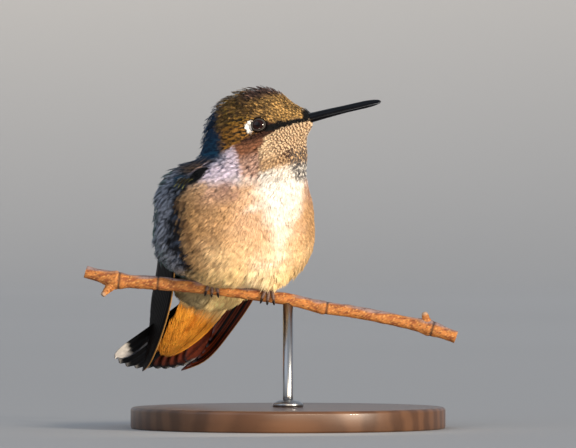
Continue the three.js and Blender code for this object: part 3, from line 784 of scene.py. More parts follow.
def thin_out(points, spacing):
    """A share of the points, no two of them closer than the spacing asked for there."""
    spacing = np.broadcast_to(spacing, len(points))
    tree = KDTree(len(points))
    for i, p in enumerate(points):
        tree.insert(p, i)
    tree.balance()
    left = np.ones(len(points), bool)
    kept = []
    for i, p in enumerate(points):
        if left[i]:
            kept.append(i)
            for _, j, _ in tree.find_range(p, spacing[i]):
                left[j] = False
    return points[kept]


def scattered_ways(count):
    """Directions spread evenly over a sphere, in no order."""
    k = np.arange(count) + 0.5
    rise = 1 - 2 * k / count
    turn = k * math.pi * (3 - math.sqrt(5))
    flat = np.sqrt(1 - rise**2)
    ways = np.stack([flat * np.cos(turn), flat * np.sin(turn), rise], axis=1)
    return ways[RNG.permutation(count)]


# ---------- the wing's frame ----------


def wing_frame(side, t):
    """The leading edge, its direction, and the ways out and back across the wing, at places t."""
    edge = spline(WING_EDGE * np.array([1, side, 1]), 240)
    ways = unit(np.gradient(edge, axis=0))
    along = unit(sample(ways, t))
    lean = lerp(0.16, -0.24, np.minimum(1, t * 1.6))
    out = unit(np.stack([0 * t + 0.05, 0 * t + side, lean], axis=-1))
    back = unit(np.cross(out, along)) * side
    return sample(edge, t), along, out, back


def wing_width(t):
    return WING_WIDTH * np.sqrt(1 - (0.93 * np.maximum(0, (t - 0.3) / 0.7)) ** 1.5)


def wing_place(side, p):
    """How far along the wing, behind its leading edge and outside it points of the body lie."""
    t = np.linspace(0, 1, 60)
    edge, along, out, back = wing_frame(side, t)
    off = p[:, None] - edge[None]
    nearest = np.abs(np.sum(off * along[None], axis=-1)).argmin(axis=1)
    off = off[np.arange(len(p)), nearest]
    return t[nearest], np.sum(off * back[nearest], axis=-1), np.sum(off * out[nearest], axis=-1)


def under_coverts(side, p, shrink=0.0):
    """Whether points of the body lie under the patch of coverts."""
    t, offset, outwards = wing_place(side, p)
    s = t / COVERTS_END
    middle = WING_WIDTH * lerp(0.72, 0.86, t)
    half = 0.55 * WING_WIDTH * np.sqrt(np.sin(math.pi * lerp(0.1, 0.9, np.clip(s, 0, 1)))) - shrink
    return (s < 1 - 0.03 * shrink) & (np.abs(offset - middle) < half) & (np.abs(outwards) < 7)


# ---------- lofted pieces ----------


def loft(rings):
    """A closed tube over rings of points: its points, its triangles, and each corner's unwrap."""
    steps, count = rings.shape[:2]
    i, j = (a.ravel() for a in np.meshgrid(np.arange(steps - 1), np.arange(count), indexing="ij"))
    k = (j + 1) % count
    a, b, c, d = i * count + j, i * count + k, (i + 1) * count + k, (i + 1) * count + j
    u, w = j / count, (j + 1) / count
    v, z = i / (steps - 1), (i + 1) / (steps - 1)
    faces = np.concatenate([np.stack([a, b, c], 1), np.stack([a, c, d], 1)])
    uv = np.concatenate([np.stack([u, v, w, v, w, z], 1), np.stack([u, v, w, z, u, z], 1)])
    fan = np.arange(1, count - 1)
    last = (steps - 1) * count
    caps = [np.stack([0 * fan, fan + 1, fan], 1), np.stack([0 * fan, fan, fan + 1], 1) + last]
    caps_uv = [np.stack([c / count, np.full(c.shape, v)], -1).reshape(-1, 6)
               for c, v in ((caps[0], 0.0), (caps[1] - last, 1.0))]
    faces = np.concatenate([faces] + caps)
    points = rings.reshape(-1, 3)
    p = points[faces] - points.mean(axis=0)
    if np.einsum("ij,ij->i", p[:, 0], np.cross(p[:, 1], p[:, 2])).sum() < 0:
        faces = faces[:, ::-1]
        uv = uv.reshape(-1, 3, 2)[:, ::-1].reshape(-1, 6)
        caps_uv = [c.reshape(-1, 3, 2)[:, ::-1].reshape(-1, 6) for c in caps_uv]
    return points, faces, np.concatenate([uv] + caps_uv).reshape(-1, 2)


class Joined:
    """Lofted parts gathered into one mesh, each with its own strip of the unwrap."""

    def __init__(self):
        self.parts = []

    def add(self, rings, paint):
        points, faces, uv = loft(rings)
        self.parts.append((points, faces, uv, np.broadcast_to(paint, rings.shape).reshape(-1, 3)))

    def build(self, name, material, slot, replaces=(), to_row=None):
        start, points, faces, uvs, paints = 0, [], [], [], []
        for n, (p, f, uv, paint) in enumerate(self.parts):
            points.append(p)
            faces.append(f + start)
            uvs.append((uv * [0.9, 0.96] + [0.05, 0.02] + [n, 0]) / [len(self.parts), 1])
            paints.append(paint)
            start += len(p)
        points = np.concatenate(points)
        body_piece(name, to_row(points) if to_row else points, np.concatenate(faces), material,
                   replaces, np.concatenate(paints), np.concatenate(uvs))


def lofted(name, rings, material, slot, replaces, to_row=None, paint=1.0):
    """A piece that is a single loft."""
    joined = Joined()
    joined.add(rings, paint)
    joined.build(name, material, slot, replaces, to_row)


def tube_frames(points, up):
    """The ways across and up at each point of a line, turning with it."""
    ways = unit(np.gradient(points, axis=0))
    sides, ups = [], []
    for way in ways:
        side = unit(np.cross(way, up))
        up = unit(np.cross(side, way))
        sides.append(side)
        ups.append(up)
    return np.array(sides), np.array(ups)


def tube(points, radius, count, up=(0, 0, 1)):
    """Rings round a line. radius is one number a ring, or one a point of each ring."""
    sides, ups = tube_frames(points, np.array(up, float))
    turn = one_turn(count)[None, :, None]
    radius = np.asarray(radius, float)
    radius = radius[:, :, None] if radius.ndim == 2 else radius[:, None, None]
    return points[:, None] + radius * (np.cos(turn) * sides[:, None] + np.sin(turn) * ups[:, None])


def vane(line, side, out, lead, trail, nodes, thick=0.1, quill=0.1, camber=0.12):
    """Rings of a flight feather: two thin webs beside a quill. lead and trail are the webs' widths."""
    c = np.concatenate([np.linspace(-1, 1, nodes), np.linspace(1, -1, nodes)[1:-1]])
    face = np.concatenate([np.ones(nodes), -np.ones(nodes - 2)])
    face[[0, nodes - 1]] = 0
    wide = np.where(c < 0, c * lead[:, None], c * trail[:, None])
    deep = thick * (0.35 + 0.65 * (1 - np.abs(c))) + quill * hump(c, 0, 0.12)
    taper = np.minimum(1, (lead + trail) / 0.5)[:, None]
    lift = face * deep * taper - camber * c * c * (lead + trail)[:, None] / 2
    rings = line[:, None] + side[:, None] * wide[..., None] + out[:, None] * lift[..., None]
    return rings, np.broadcast_to(c, wide.shape)


# ---------- wings ----------

PRIMARIES, SECONDARIES = 10, 5
VANE_STEPS, VANE_NODES = 26, 11


def wing_feather(side, i):
    """Feather i of the folded wing. The primaries come first, from the leading edge inwards."""
    s = np.linspace(0, 1, VANE_STEPS)
    if i < PRIMARIES:
        rank = i / (PRIMARIES - 1)
        t = lerp(0.2, lerp(1, 0.7, rank), s)
        away = 0.9 + rank * (wing_width(t) - 2.4)
    else:
        rank = (i - PRIMARIES) / (SECONDARIES - 1)
        t = lerp(0.12, lerp(0.66, 0.46, rank), s)
        away = wing_width(t) - 0.9 - 0.5 * rank
    away = away[:, None]  # how far it lies behind the leading edge
    edge, _, out, back = wing_frame(side, t)
    line = edge + back * away - out * (0.09 * i + WING_CURL * away**2)
    face = unit(out + 2 * WING_CURL * away * back)
    run = unit(np.gradient(line, axis=0))
    across = unit(np.cross(face, run)) * side
    point = rounded(s, 0.66)
    lead, trail = 0.9 if i == 0 else 1.1, 1.75
    rings, c = vane(line, across, unit(np.cross(run, across)) * side, lead * point, trail * point,
                    VANE_NODES)
    return rings, c, np.broadcast_to(s[:, None], c.shape)


def wing(name, side):
    joined = Joined()
    for i in range(PRIMARIES + SECONDARIES):
        rings, c, s = wing_feather(side, i)
        inner = np.arange(c.shape[1]) >= VANE_NODES
        joined.add(rings, laid(
            plain("feather", c.shape),
            ("feather_edge", smooth(0.8, 1.0, np.abs(c))),
            # Painted sheen: the inner faces of some feathers get a purple-brown sheen.
            ("maroon_sheen", inner * smooth(1.0, 0.3, np.abs(c)) * smooth(0, 0.5, np.sin(2.1 * i + 0.4))),
            ("quill", (i == 0) * smooth(-0.6, -0.75, c)),
            ("fringe", 0.5 * smooth(0.975, 1, s)),
        ))
    nodes = [f"wing_{name}_primaries"]
    joined.build(f"wing_{name}_vanes", "vane", "wing_feathers", nodes, bird_to_row)


# ---------- tail ----------

TAIL_WAY = np.array([-math.cos(math.radians(TAIL_SLOPE)), 0, -math.sin(math.radians(TAIL_SLOPE))])
TAIL_UNDER = np.array([-TAIL_WAY[2], 0, TAIL_WAY[0]])
TAIL_RANKS = (0, 0.25, 0.5, 0.75, 1)
TAIL_NODES = 9
TONGUE_ROWS = 7  # of the coverts under the tail, which form a tongue


def tail_feather(name, rank):
    side = SIDES[name]
    fan = math.radians(1.5 + TAIL_FAN[name] * rank)
    length = TAIL_LENGTH * (1 - 0.1 * rank * rank)
    way = TAIL_WAY * math.cos(fan) + np.array([0, side * math.sin(fan), 0])
    root = TAIL_ROOT + TAIL_UNDER * (-0.4 + 1.3 * rank + 0.16 * (side > 0))
    root = root + np.array([0, side * (0.5 + 1.6 * rank), 0])
    tip = root + way * length
    bend = root + way * length * 0.55 + TAIL_UNDER * 0.7
    s = np.linspace(0, 1, VANE_STEPS)[:, None]
    line = root * (1 - s) ** 2 + 2 * bend * s * (1 - s) + tip * s * s
    run = unit(np.gradient(line, axis=0))
    outer = unit(np.cross(TAIL_UNDER, run)) * -side
    s = s[:, 0]
    half = lerp(1.3, 3.0, np.minimum(1, s * 1.35)) * rounded(s, 0.8)
    under = unit(np.cross(run, outer)) * -side
    rings, c = vane(line, outer, under, half, half, TAIL_NODES, thick=0.12, quill=0.14, camber=-0.1)
    return rings, c, np.broadcast_to(s[:, None], c.shape)


def tail():
    joined = Joined()
    under = np.concatenate([np.ones(TAIL_NODES), np.zeros(TAIL_NODES - 2)])
    for name in SIDES:
        for rank in TAIL_RANKS:
            rings, c, s = tail_feather(name, rank)
            left = name == "left"
            web = laid(
                plain("tail", c.shape),
                ("back", (1 - under) * (1 - 0.7 * rank) * smooth(0.85, 0.6, s)),
                ("rust", (1 - under) * rank * smooth(0.5, 0.35, s)),
                ("fringe", 0.6 * (rank == 1) * smooth(0.8, 0.95, c)),
                # Painted sheen: the under faces of the left half get a purple-brown sheen.
                ("maroon_sheen", under * left * (0.3 + 0.4 * rank) * smooth(0.97, 0.9, s)),
            )
            start = lerp(0.98, 0.95 if left else 0.83, smooth(0.8, 1, rank))
            pale = smooth(start - 0.012, start + 0.012, s - 0.06 * c) * (0.45 + 0.55 * (rank == 1))
            joined.add(rings, blend(web, TONES["white"] * 0.85, pale))
    joined.build("tail_vanes", "vane", "tail_feathers", ["tail"], bird_to_row)


def tongue_middle(t):
    rise = 3.4 - 0.5 * t + np.sin(math.pi * t)
    centre = TAIL_ROOT + TAIL_WAY * (TONGUE_LENGTH * t)[..., None] + TAIL_UNDER * rise[..., None]
    centre = centre - np.array([0, TONGUE_ASIDE, 0])
    wide = lerp(7.8, 5.6, t) * np.sqrt(np.maximum(1 - 0.97 * t**2.4, 0.01))
    return centre, wide, lerp(2.6, 0.5, np.sqrt(t))


def on_tongue(t, c, under=1.0, lift=0.0):
    """A point of the tongue's lower face: t from root to tip, c from its right edge to its left."""
    centre, wide, deep = tongue_middle(t)
    bulge = np.sqrt(np.maximum(1 - c * c, 0)) * deep * under + lift
    return centre + TAIL_UNDER * bulge[..., None] + np.array([0, 1, 0]) * (wide * c)[..., None]


def tongue_tone(t, c):
    """Cream at the root and orange beyond, with painted shade in its creases and folds."""
    crease = hump(c + 0.25 * t, -0.12, 0.1) * smooth(0.12, 0.22, t) * smooth(0.6, 0.5, t)
    folds = smooth(0.5, 0.9, np.sin(46 * t + 5 * c)) * smooth(0.32, 0.2, np.abs(c - 0.12))
    folds = folds * smooth(0.62, 0.5, t) * smooth(0.18, 0.3, t)
    return laid(plain("orange", t.shape), ("rust", 0.8 * crease + 0.45 * folds),
                ("downy", smooth(0.34, 0.1, t - 0.16 * c)))


def tongue_plumage(p):
    off = p - TAIL_ROOT
    t = np.clip(off @ TAIL_WAY / TONGUE_LENGTH, 0, 1)
    _, wide, _ = tongue_middle(t)
    edge = tongue_tone(t, np.clip((off[..., 1] + TONGUE_ASIDE) / wide, -1, 1))
    return edge, edge * 0.72, np.ones(edge.shape) * [0.14, -1, 0.8]


def undertail():
    coat = Coat()
    v = np.linspace(0, 1, RACHIS_STEPS)[None]
    for row in range(TONGUE_ROWS):
        t0, across = 0.02 + 0.115 * row, 5 + row % 2
        c0 = np.linspace(-0.72, 0.72, across) + RNG.uniform(-0.05, 0.05, across)
        t = t0 + min(0.36, 1 - t0) * v + 0 * c0[:, None]
        c = c0[:, None] * (1 - 0.12 * v)
        points = on_tongue(t, c, lift=-0.45 + 0.4 * v - 0.1 * RNG.uniform(0, 1, (across, 1)))
        ups = unit(TAIL_UNDER + np.array([0, 1, 0]) * 0.5 * c[..., None])
        sides = unit(np.cross(ups, unit(np.gradient(points, axis=1))))
        lines = [points, sides, np.broadcast_to(ups, points.shape)]
        anchor = np.stack([0.1 + 0.8 * (c0 + 1) / 2, np.full(across, 0.08 + 0.84 * t0)], axis=-1)
        coat.add(lines, half=np.full(across, 2.3), barbs=90, wide=0.24, colours=tongue_plumage,
                 anchor=anchor, kind="loose", cup=0.07, shine=0.06, flare=0.9)
    coat.build("undertail_feathers", "coat", "undertail_coverts", clear=False)
    turn = one_turn(24)
    c, t = np.meshgrid(np.cos(turn) * 0.93, np.linspace(0, 1, 20))
    rings = on_tongue(t, c, under=np.sin(turn) * 0.8)
    # Painted shade: the down under the tongue's feathers is painted darker, as the shade beneath them.
    lofted("undertail_down", rings, "coat", "undertail_coverts", ["undertail_coverts"], bird_to_row,
           tongue_tone(t, c) * 0.7)


# ---------- bill, eyes and lids, in the head's frame ----------


def head_to_row(p):
    return bird_to_row(head_to_bird(p))


def bill_half(upper):
    steps, count = 60, 26
    t = np.linspace(0, 1, steps)
    point = 0.12 + 0.88 * rounded(t, 0.78, 1)
    deep = lerp(1.2, 0.86, np.minimum(1, t * 1.7)) * point
    wide = lerp(1.5, 0.82, np.minimum(1, t * 1.5)) * point
    forward = lerp(BILL_BASE, BILL_TIP, t)
    level = BILL_LEVEL - BILL_DROOP * t * t
    slope = math.radians(MOUTH_SLOPE)
    mouth = MOUTH_LEVEL + (BILL_SLIT / 2 if upper else -BILL_SLIT / 2)
    edge = (mouth - forward * math.sin(slope)) / math.cos(slope)
    cut = np.arcsin(np.clip((edge - level) / deep, -0.95, 0.95))
    if upper:
        turn = np.stack([np.linspace(a, math.pi - a, count) for a in cut])
    else:
        turn = np.stack([np.linspace(math.pi - a, 2 * math.pi + a, count) for a in cut])
    ridge = 1 + 0.07 * hump(turn, math.pi / 2, 0.3) * upper
    y = wide[:, None] * np.cos(turn)
    z = level[:, None] + deep[:, None] * np.sin(turn) * ridge
    x = np.broadcast_to(forward[:, None], y.shape)
    arc = np.stack([x, y, z], axis=-1)
    floor = np.stack([lerp(arc[:, -1], arc[:, 0], f) for f in (0.06, 0.35, 0.65, 0.94)], axis=1)
    return np.concatenate([arc, floor], axis=1)


def bill():
    for half in ("upper", "lower"):
        rings = bill_half(half == "upper")
        lofted(f"horn_{half}", rings, "bill", "bill", [f"bill_{half}"], head_to_row)


EYE_FACING = {"ahead": 0.17, "up": 0.03}  # how far the eye is turned from straight out
LID_OPENING = (1.34, 1.08)
LID_OUTER = (1.9, 1.6)
EYE_CLEAR = (1.6, 1.26)  # the oval that the feathers leave free
# Places from the lids' opening outwards, and the colour at each.
LID_BANDS = [(0.0, "1c1816"), (0.1, "544c46"), (0.22, "120f0e"), (0.4, "100d0c"), (0.5, "80766c"),
             (0.6, "171310"), (1.0, "171310")]


def eye_frame(side):
    """The eye's middle and its ways ahead, up and out, in the head's frame."""
    out = unit(np.array([EYE_FACING["ahead"], side, EYE_FACING["up"]]))
    up = unit(np.array([0.0, 0, 1]) - out[2] * out)
    ahead = unit(np.array([1.0, 0, 0]) - out[0] * out)
    return EYE_AT * np.array([1, side, 1]), ahead, up, out


def eye(name, side):
    centre, ahead, up, out = eye_frame(side)
    steep = np.linspace(0.02, math.pi - 0.02, 40)[:, None]
    turn = one_turn(48)[None]
    ball = EYE_RADIUS * np.stack(np.broadcast_arrays(
        np.sin(steep) * np.cos(turn), np.sin(steep) * np.sin(turn), np.cos(steep)), axis=-1)
    away = np.hypot(ball[..., 0], ball[..., 1])
    paint = laid(plain("eye", away.shape), ("iris", smooth(0.45, 0.8, away) * smooth(1.55, 1.3, away)))
    rings = centre + ball @ np.stack([ahead, up, out])
    lofted(f"eyeball_{name}", rings, "eye", "eye", [f"eye_{name}"], head_to_row, paint)

    f = np.concatenate([np.linspace(0, 1, 26), np.linspace(1, 0, 4)])
    shell = np.concatenate([np.linspace(0.15, -0.12, 26), np.full(4, -0.2)])
    shell[0] = 0.08
    turn = np.append(one_turn(64), 0)[:, None]  # the lids close on themselves
    a, b = (lerp(LID_OPENING[i], LID_OUTER[i], f) for i in (0, 1))
    x, y = a * np.cos(turn), b * np.sin(turn)
    z = np.sqrt(np.maximum((EYE_RADIUS + shell) ** 2 - x * x - y * y, 0.16))
    rings = np.stack([x, y, z], axis=-1) @ np.stack([ahead, up, out]) + centre
    places, codes = zip(*LID_BANDS)
    bands = np.array([tone(code) for code in codes])
    colour = np.stack([np.interp(f, places, bands[:, i]) for i in range(3)], axis=-1)
    lofted(f"lids_{name}", rings, "lid", "plumage_head", (), head_to_row, colour)


# ---------- feet ----------


def curl_line(x, start, end, drift, hug, count):
    """A line round the twig between two angles, 0 at its front and 90 on top."""
    centre, way, up = twig_at(x)
    s = np.linspace(0, 1, count)[:, None]
    turn = np.radians(lerp(start, end, s))
    front = np.array([0.0, -1, 0])
    return centre + hug * (np.cos(turn) * front + np.sin(turn) * up) + way * lerp(drift[0], drift[1], s)


def foot(name):
    x = FOOT_ALONG[name]
    way = twig_at(x)[1]
    toes, claws = Joined(), Joined()
    for start, end, near, far in TOES:
        line = curl_line(x, start, end, (near, far), TOE_HUG, 44)
        s = np.linspace(0, 1, 44)
        wave = np.abs(np.sin(math.pi * SCUTES * s))
        radius = TOE_RADIUS * lerp(1.0, 0.84, s) * (1 + 0.09 * wave) * rounded(s, 0.9, 0.96)
        skin = laid(plain("toe", wave.shape), ("toe_seam", (wave < 0.25) * 0.8))
        toes.add(tube(line, radius, 14, way), skin[:, None])
        onward = math.copysign(1, end - start)
        ahead = far + (far - near) * 0.25
        first = end + 4 * onward
        line = curl_line(x, first, first + onward * (CLAW_TURN + 4), (far, ahead), TOE_HUG + 0.02, 16)
        s = np.linspace(0, 1, 16)
        claws.add(tube(line, 0.33 * np.sqrt(1 - 0.93 * s**1.4), 12, way), TONES["claw"])
    centre, _, up = twig_at(x)
    s = np.linspace(-1, 1, 12)[:, None]
    line = centre + up * (TOE_HUG + 0.1) + way * s
    toes.add(tube(line, 0.55 * np.sqrt(1 - 0.97 * s[:, 0] ** 2) + 0.02, 14), TONES["toe_root"])
    toes.build(f"toes_{name}", "toe", "toes", [f"foot_{name}"])
    claws.build(f"claws_{name}", "claw", "claws", [f"claw_{name}_{n}" for n in (1, 2, 3, 4)])


# ---------- the twig ----------

BARK_RINGS, BARK_SIDES = 420, 44
SCAR = 0.9  # how far past the middle of each node the groove round it lies
SHOOTS = [  # two cut-off side shoots: start, end, and the radius at each
    ((-40.8, -0.3, 34.4), (-43.6, -1.4, 31.2), 1.35, 0.7),
    ((33.0, -0.2, 23.7), (32.0, -0.5, 27.3), 1.2, 0.75),
]


def bark_paint(p, up):
    """The bark's colour. up is 1 on top of the twig, which is painted grey as the cool shade of its
    sky-lit top.
    """
    return laid(
        plain("bark", up.shape),
        ("bark_red", smooth(-0.2, 0.8, ripple(p * [1, 3, 3], 5, 31))),
        ("bark_pale", 0.7 * smooth(0.3, 0.9, ripple(p * [1, 2.5, 2.5], 1.1, 32))),
        # Painted shade: the top of the twig is painted grey.
        ("bark_top_shade", smooth(0.45, 0.95, up + 0.25 * ripple(p, 3, 33)) * 0.85),
        ("bark_spot", 0.6 * smooth(0.7, 1.0, ripple(p * [1, 1.6, 1.6], 0.8, 34))),
    )


def perch():
    joined = Joined()
    line = spline(TWIG, BARK_RINGS)
    line[0] += 0.02 * (line[1] - line[0])
    turn = one_turn(BARK_SIDES)[None]
    x = line[:, :1]
    place = np.stack(np.broadcast_arrays(x * 0.35, 2.2 * np.cos(turn), 2.2 * np.sin(turn)), axis=-1)
    rough = 0.05 * ripple(place * 2, 2.4, 21) + 0.03 * ripple(place * [2, 6, 6], 2.0, 22)
    for at, _, _ in TWIG_NODES:
        rough = rough - 0.11 * hump(x, at + SCAR, 0.22) + 0.09 * hump(x, at, 0.4)
    radius = 0.98 * twig_radius(x) + rough
    rings = tube(line, radius, BARK_SIDES)
    dark = sum(hump(x, at + SCAR, 0.3) for at, _, _ in TWIG_NODES) * np.ones(radius.shape)
    # up is 1 on top, where the bark gets its painted shade.
    up = np.broadcast_to(np.sin(turn), radius.shape)
    joined.add(rings, laid(bark_paint(rings, up), ("bark_ring", 0.85 * dark)))
    for start, end, thick, thin in SHOOTS:
        s = np.linspace(0, 1, 40)
        line = lerp(np.array(start), np.array(end), s[:, None])
        radius = lerp(thick, thin, smooth(0.1, 0.9, s)) * rounded(s, 0.8, 0.6)
        rings = tube(line, radius + 0.05 * ripple(line * 3, 3, 23), 30, (0, 1, 0))
        level = np.zeros(rings.shape[:2])
        cut_end = level + 0.7 * smooth(0.75, 0.95, s)[:, None]
        joined.add(rings, laid(bark_paint(rings, level), ("bark_end", cut_end)))
    joined.build("bark", "bark", "bark", ["perch"])


# ---------- the stand, the room and the light ----------


def lathe(profile, count):
    turn = one_turn(count)
    r, z = np.array(profile).T
    return np.stack(np.broadcast_arrays(
        r[:, None] * np.cos(turn), r[:, None] * np.sin(turn), z[:, None]), axis=-1)


def stand():
    edge = [(BASE_RADIUS - BASE_EDGE * (1 - math.sin(a)), BASE_HEIGHT - BASE_EDGE * (1 - math.cos(a)))
            for a in np.linspace(math.pi / 2, 0, 9)]
    foot_edge = [(BASE_RADIUS - 0.5, 0), (BASE_RADIUS - 0.15, 0.1), (BASE_RADIUS, 0.5)]
    profile = [(0.01, 0), (BASE_RADIUS / 2, 0)] + foot_edge + edge
    profile += [(BASE_RADIUS * f, BASE_HEIGHT) for f in (0.9, 0.5, 0.1, 0.0003)]
    lofted("base_disc", lathe(profile, 160), "wood", "stand_wood", ["stand_base"])
    top = BASE_HEIGHT + COLLAR_HEIGHT
    collar = [(0.01, BASE_HEIGHT), (COLLAR_RADIUS, BASE_HEIGHT), (COLLAR_RADIUS, BASE_HEIGHT + 0.7)]
    for s in np.linspace(0.03, 1, 8):
        rise = 0.8 + 0.8 * math.sin(s * math.pi / 2)
        collar.append((lerp(COLLAR_RADIUS, ROD_RADIUS + 0.5, s), BASE_HEIGHT + rise))
    lofted("collar_ring", lathe(collar + [(0.01, top)], 64), "metal", "stand_metal", ["stand_collar"])
    high = twig_at(0)[0][2] - TWIG_RADIUS + 0.9
    rod = [(0.01, top - 0.3)] + [(ROD_RADIUS, z) for z in (top - 0.3, top + 1, high)] + [(0.01, high)]
    lofted("rod_pin", lathe(rod, 48), "metal", "stand_metal", ["stand_rod"])


FLOOR_RADIUS, RIM_WIDTH, RIM_HEIGHT = 3200, 1100, 400  # millimetres
ROOM_SIDES = 96


def room():
    """A pale floor that curves up into a low wall all round, over which the light comes in."""
    profile = [(r, 0.0) for r in (1.0, 300.0, 1500.0, FLOOR_RADIUS)]
    profile += [(FLOOR_RADIUS + RIM_WIDTH * math.sin(a), RIM_HEIGHT * (1 - math.cos(a)))
                for a in np.linspace(0.1, math.pi / 2, 14)]
    points, faces, _ = loft(lathe(profile, ROOM_SIDES))
    side = 2 * ROOM_SIDES * (len(profile) - 1)
    new_piece("room_bowl", points, faces[:side][:, ::-1], "room")


# Each light's kind, where it is, how it is turned in degrees, and its settings. The bounce stands in
# for light thrown up from below.
LIGHTS = {
    "key": ("SUN", (0, 0, 1), (81, 0, 50),
            {"energy": 3.9, "color": (1.0, 0.88, 0.72), "angle": math.radians(8)}),
    "fill": ("SUN", (0, 0, 1), (62, 0, -50),
             {"energy": 0.6, "color": (0.78, 0.87, 1.0), "angle": math.radians(60)}),
    "bounce": ("AREA", (0.007, -0.072, 0.013), (140, 0, 17),
               {"energy": 0.031, "color": (1.0, 0.86, 0.68), "shape": "RECTANGLE", "size": 0.04,
                "size_y": 0.013}),
}
SKY_COLOUR, SKY_STRENGTH = (0.8, 0.88, 1.0, 1), 0.5
CAMERA_AT = (0, -1.5, 0.048)
LENS, SENSOR = 398.9, 36
FAR_END = 50  # metres, past which the camera shows nothing


def light(name, kind, at, turn, settings):
    data = bpy.data.lights.new(name, kind)
    for key, value in settings.items():
        setattr(data, key, value)
    lamp = bpy.data.objects.new(name, data)
    lamp.location = at
    lamp.rotation_euler = [math.radians(a) for a in turn]
    lamp.visible_camera = kind != "AREA"  # or other views would show the bounce as a bright card
    bpy.context.collection.objects.link(lamp)


def studio():
    scene = bpy.context.scene
    for name, values in LIGHTS.items():
        light(name, *values)
    world = bpy.data.worlds.new("studio")
    world.use_nodes = True
    sky = world.node_tree.nodes["Background"]
    sky.inputs["Color"].default_value = SKY_COLOUR
    sky.inputs["Strength"].default_value = SKY_STRENGTH
    scene.world = world
    scene.view_settings.view_transform = "Standard"
    camera = bpy.data.objects.new("camera", bpy.data.cameras.new("camera"))
    camera.data.lens = LENS
    camera.data.sensor_width = SENSOR
    camera.data.clip_end = FAR_END
    camera.location = CAMERA_AT
    camera.rotation_euler = (math.radians(90), 0, 0)
    bpy.context.collection.objects.link(camera)
    scene.camera = camera


# ---------- finishes ----------


def wood_finish():
    finish = Finish("walnut", 0.38, Coat_Weight=0.15)
    grain = finish.noise(90, 6, (0.12, 1, 1))
    ring = finish.node("ShaderNodeTexWave", Scale=70.0, Distortion=4.0, Detail=3.0, bands_direction="Y")
    finish.link(finish.place((0.25, 1, 1)), ring.inputs["Vector"])
    wave = finish.ramp(ring.outputs["Fac"], [(0.2, tone("53351f")), (0.8, tone("67452c"))])
    vein = finish.ramp(grain, [(0.35, (0.7,) * 3), (0.65, (1.05,) * 3)])
    finish.colour(finish.multiply(wave, vein))
    finish.bump((600, 4, (0.08, 1, 1)), 0.12, 0.0001)
    return finish.material


# Where a bump is given, it is its noise, its strength and its depth in metres.
MATERIALS = {
    "coat": painted("plumage", 0.7, 1400, 0.9, 1.08, Specular_IOR_Level=0.2),
    "vane": painted("vanes", 0.5, 1100, 0.85, 1.12, ((2600, 4), 0.25, 0.00008), Specular_IOR_Level=0.12),
    "skin": painted("skin", 0.8, 900, 0.8, 1.1, ((1800, 4), 0.4, 0.0002)),
    "eye": painted("eye_gloss", 0.03, 300, 0.95, 1.05, IOR=1.37),
    "lid": painted("lid_skin", 0.45, 1500, 0.85, 1.1, ((3000, 4), 0.3, 0.00006)),
    "toe": painted("toe_scales", 0.55, 1500, 0.8, 1.15, ((2500, 4), 0.3, 0.00008)),
    "claw": painted("claw_horn", 0.32, 1200, 0.85, 1.1),
    "bill": mottled("bill_horn", 0.3, (420, 3), [(0.3, tone("030408")), (0.75, tone("080a12"))],
                    ((900, 4), 0.12, 0.0001), Specular_IOR_Level=0.16),
    "bark": painted("bark", 0.78, 900, 0.8, 1.15, ((1500, 5, (0.35, 1, 1)), 0.5, 0.0002)),
    "wood": wood_finish(),
    "metal": mottled("brushed_steel", 0.3, (700, 2, (1, 1, 0.05)),
                     [(0.3, tone("8f9092")), (0.7, tone("b0b1b2"))],
                     ((1600, 2, (1, 1, 0.03)), 0.1, 0.00005), Metallic=1.0),
    "room": mottled("room_pale", 0.9, (0.6, 2), [(0.3, (0.40, 0.395, 0.39)), (0.7, (0.44, 0.435, 0.43))]),
}

# ---------- the skin ----------


def surface_net(distance, low, high, cell):
    """A mesh of quads round the inside of a distance function."""
    axes = [np.arange(a, b, cell) for a, b in zip(low, high)]
    grid = np.stack(np.meshgrid(*axes, indexing="ij"), axis=-1)
    inside = distance(grid) < 0
    corners = sum(inside[i:inside.shape[0] - 1 + i, j:inside.shape[1] - 1 + j, k:inside.shape[2] - 1 + k]
                  .astype(int) for i in (0, 1) for j in (0, 1) for k in (0, 1))
    mixed = (corners > 0) & (corners < 8)
    ids = np.full(mixed.shape, -1)
    ids[mixed] = np.arange(mixed.sum())
    quads = []
    for axis in range(3):
        order = [axis, (axis + 1) % 3, (axis + 2) % 3]
        turned, numbers = np.transpose(inside, order), np.transpose(ids, order)
        near, far = turned[:-1, 1:-1, 1:-1], turned[1:, 1:-1, 1:-1]
        i, j, k = np.nonzero(near != far)
        quad = np.stack([numbers[i, j, k], numbers[i, j + 1, k], numbers[i, j + 1, k + 1],
                         numbers[i, j, k + 1]], axis=1)
        flip = far[i, j, k]
        quad[flip] = quad[flip][:, ::-1]
        quads.append(quad)
    return grid[:-1, :-1, :-1][mixed] + cell / 2, np.concatenate(quads)


SKIN_LOW, SKIN_HIGH = (-22, -21, -22), (25, 21, 34)
SKIN_CELL = 0.75


def above_skin(p):
    return outside_body(p) + coat_depth(p)


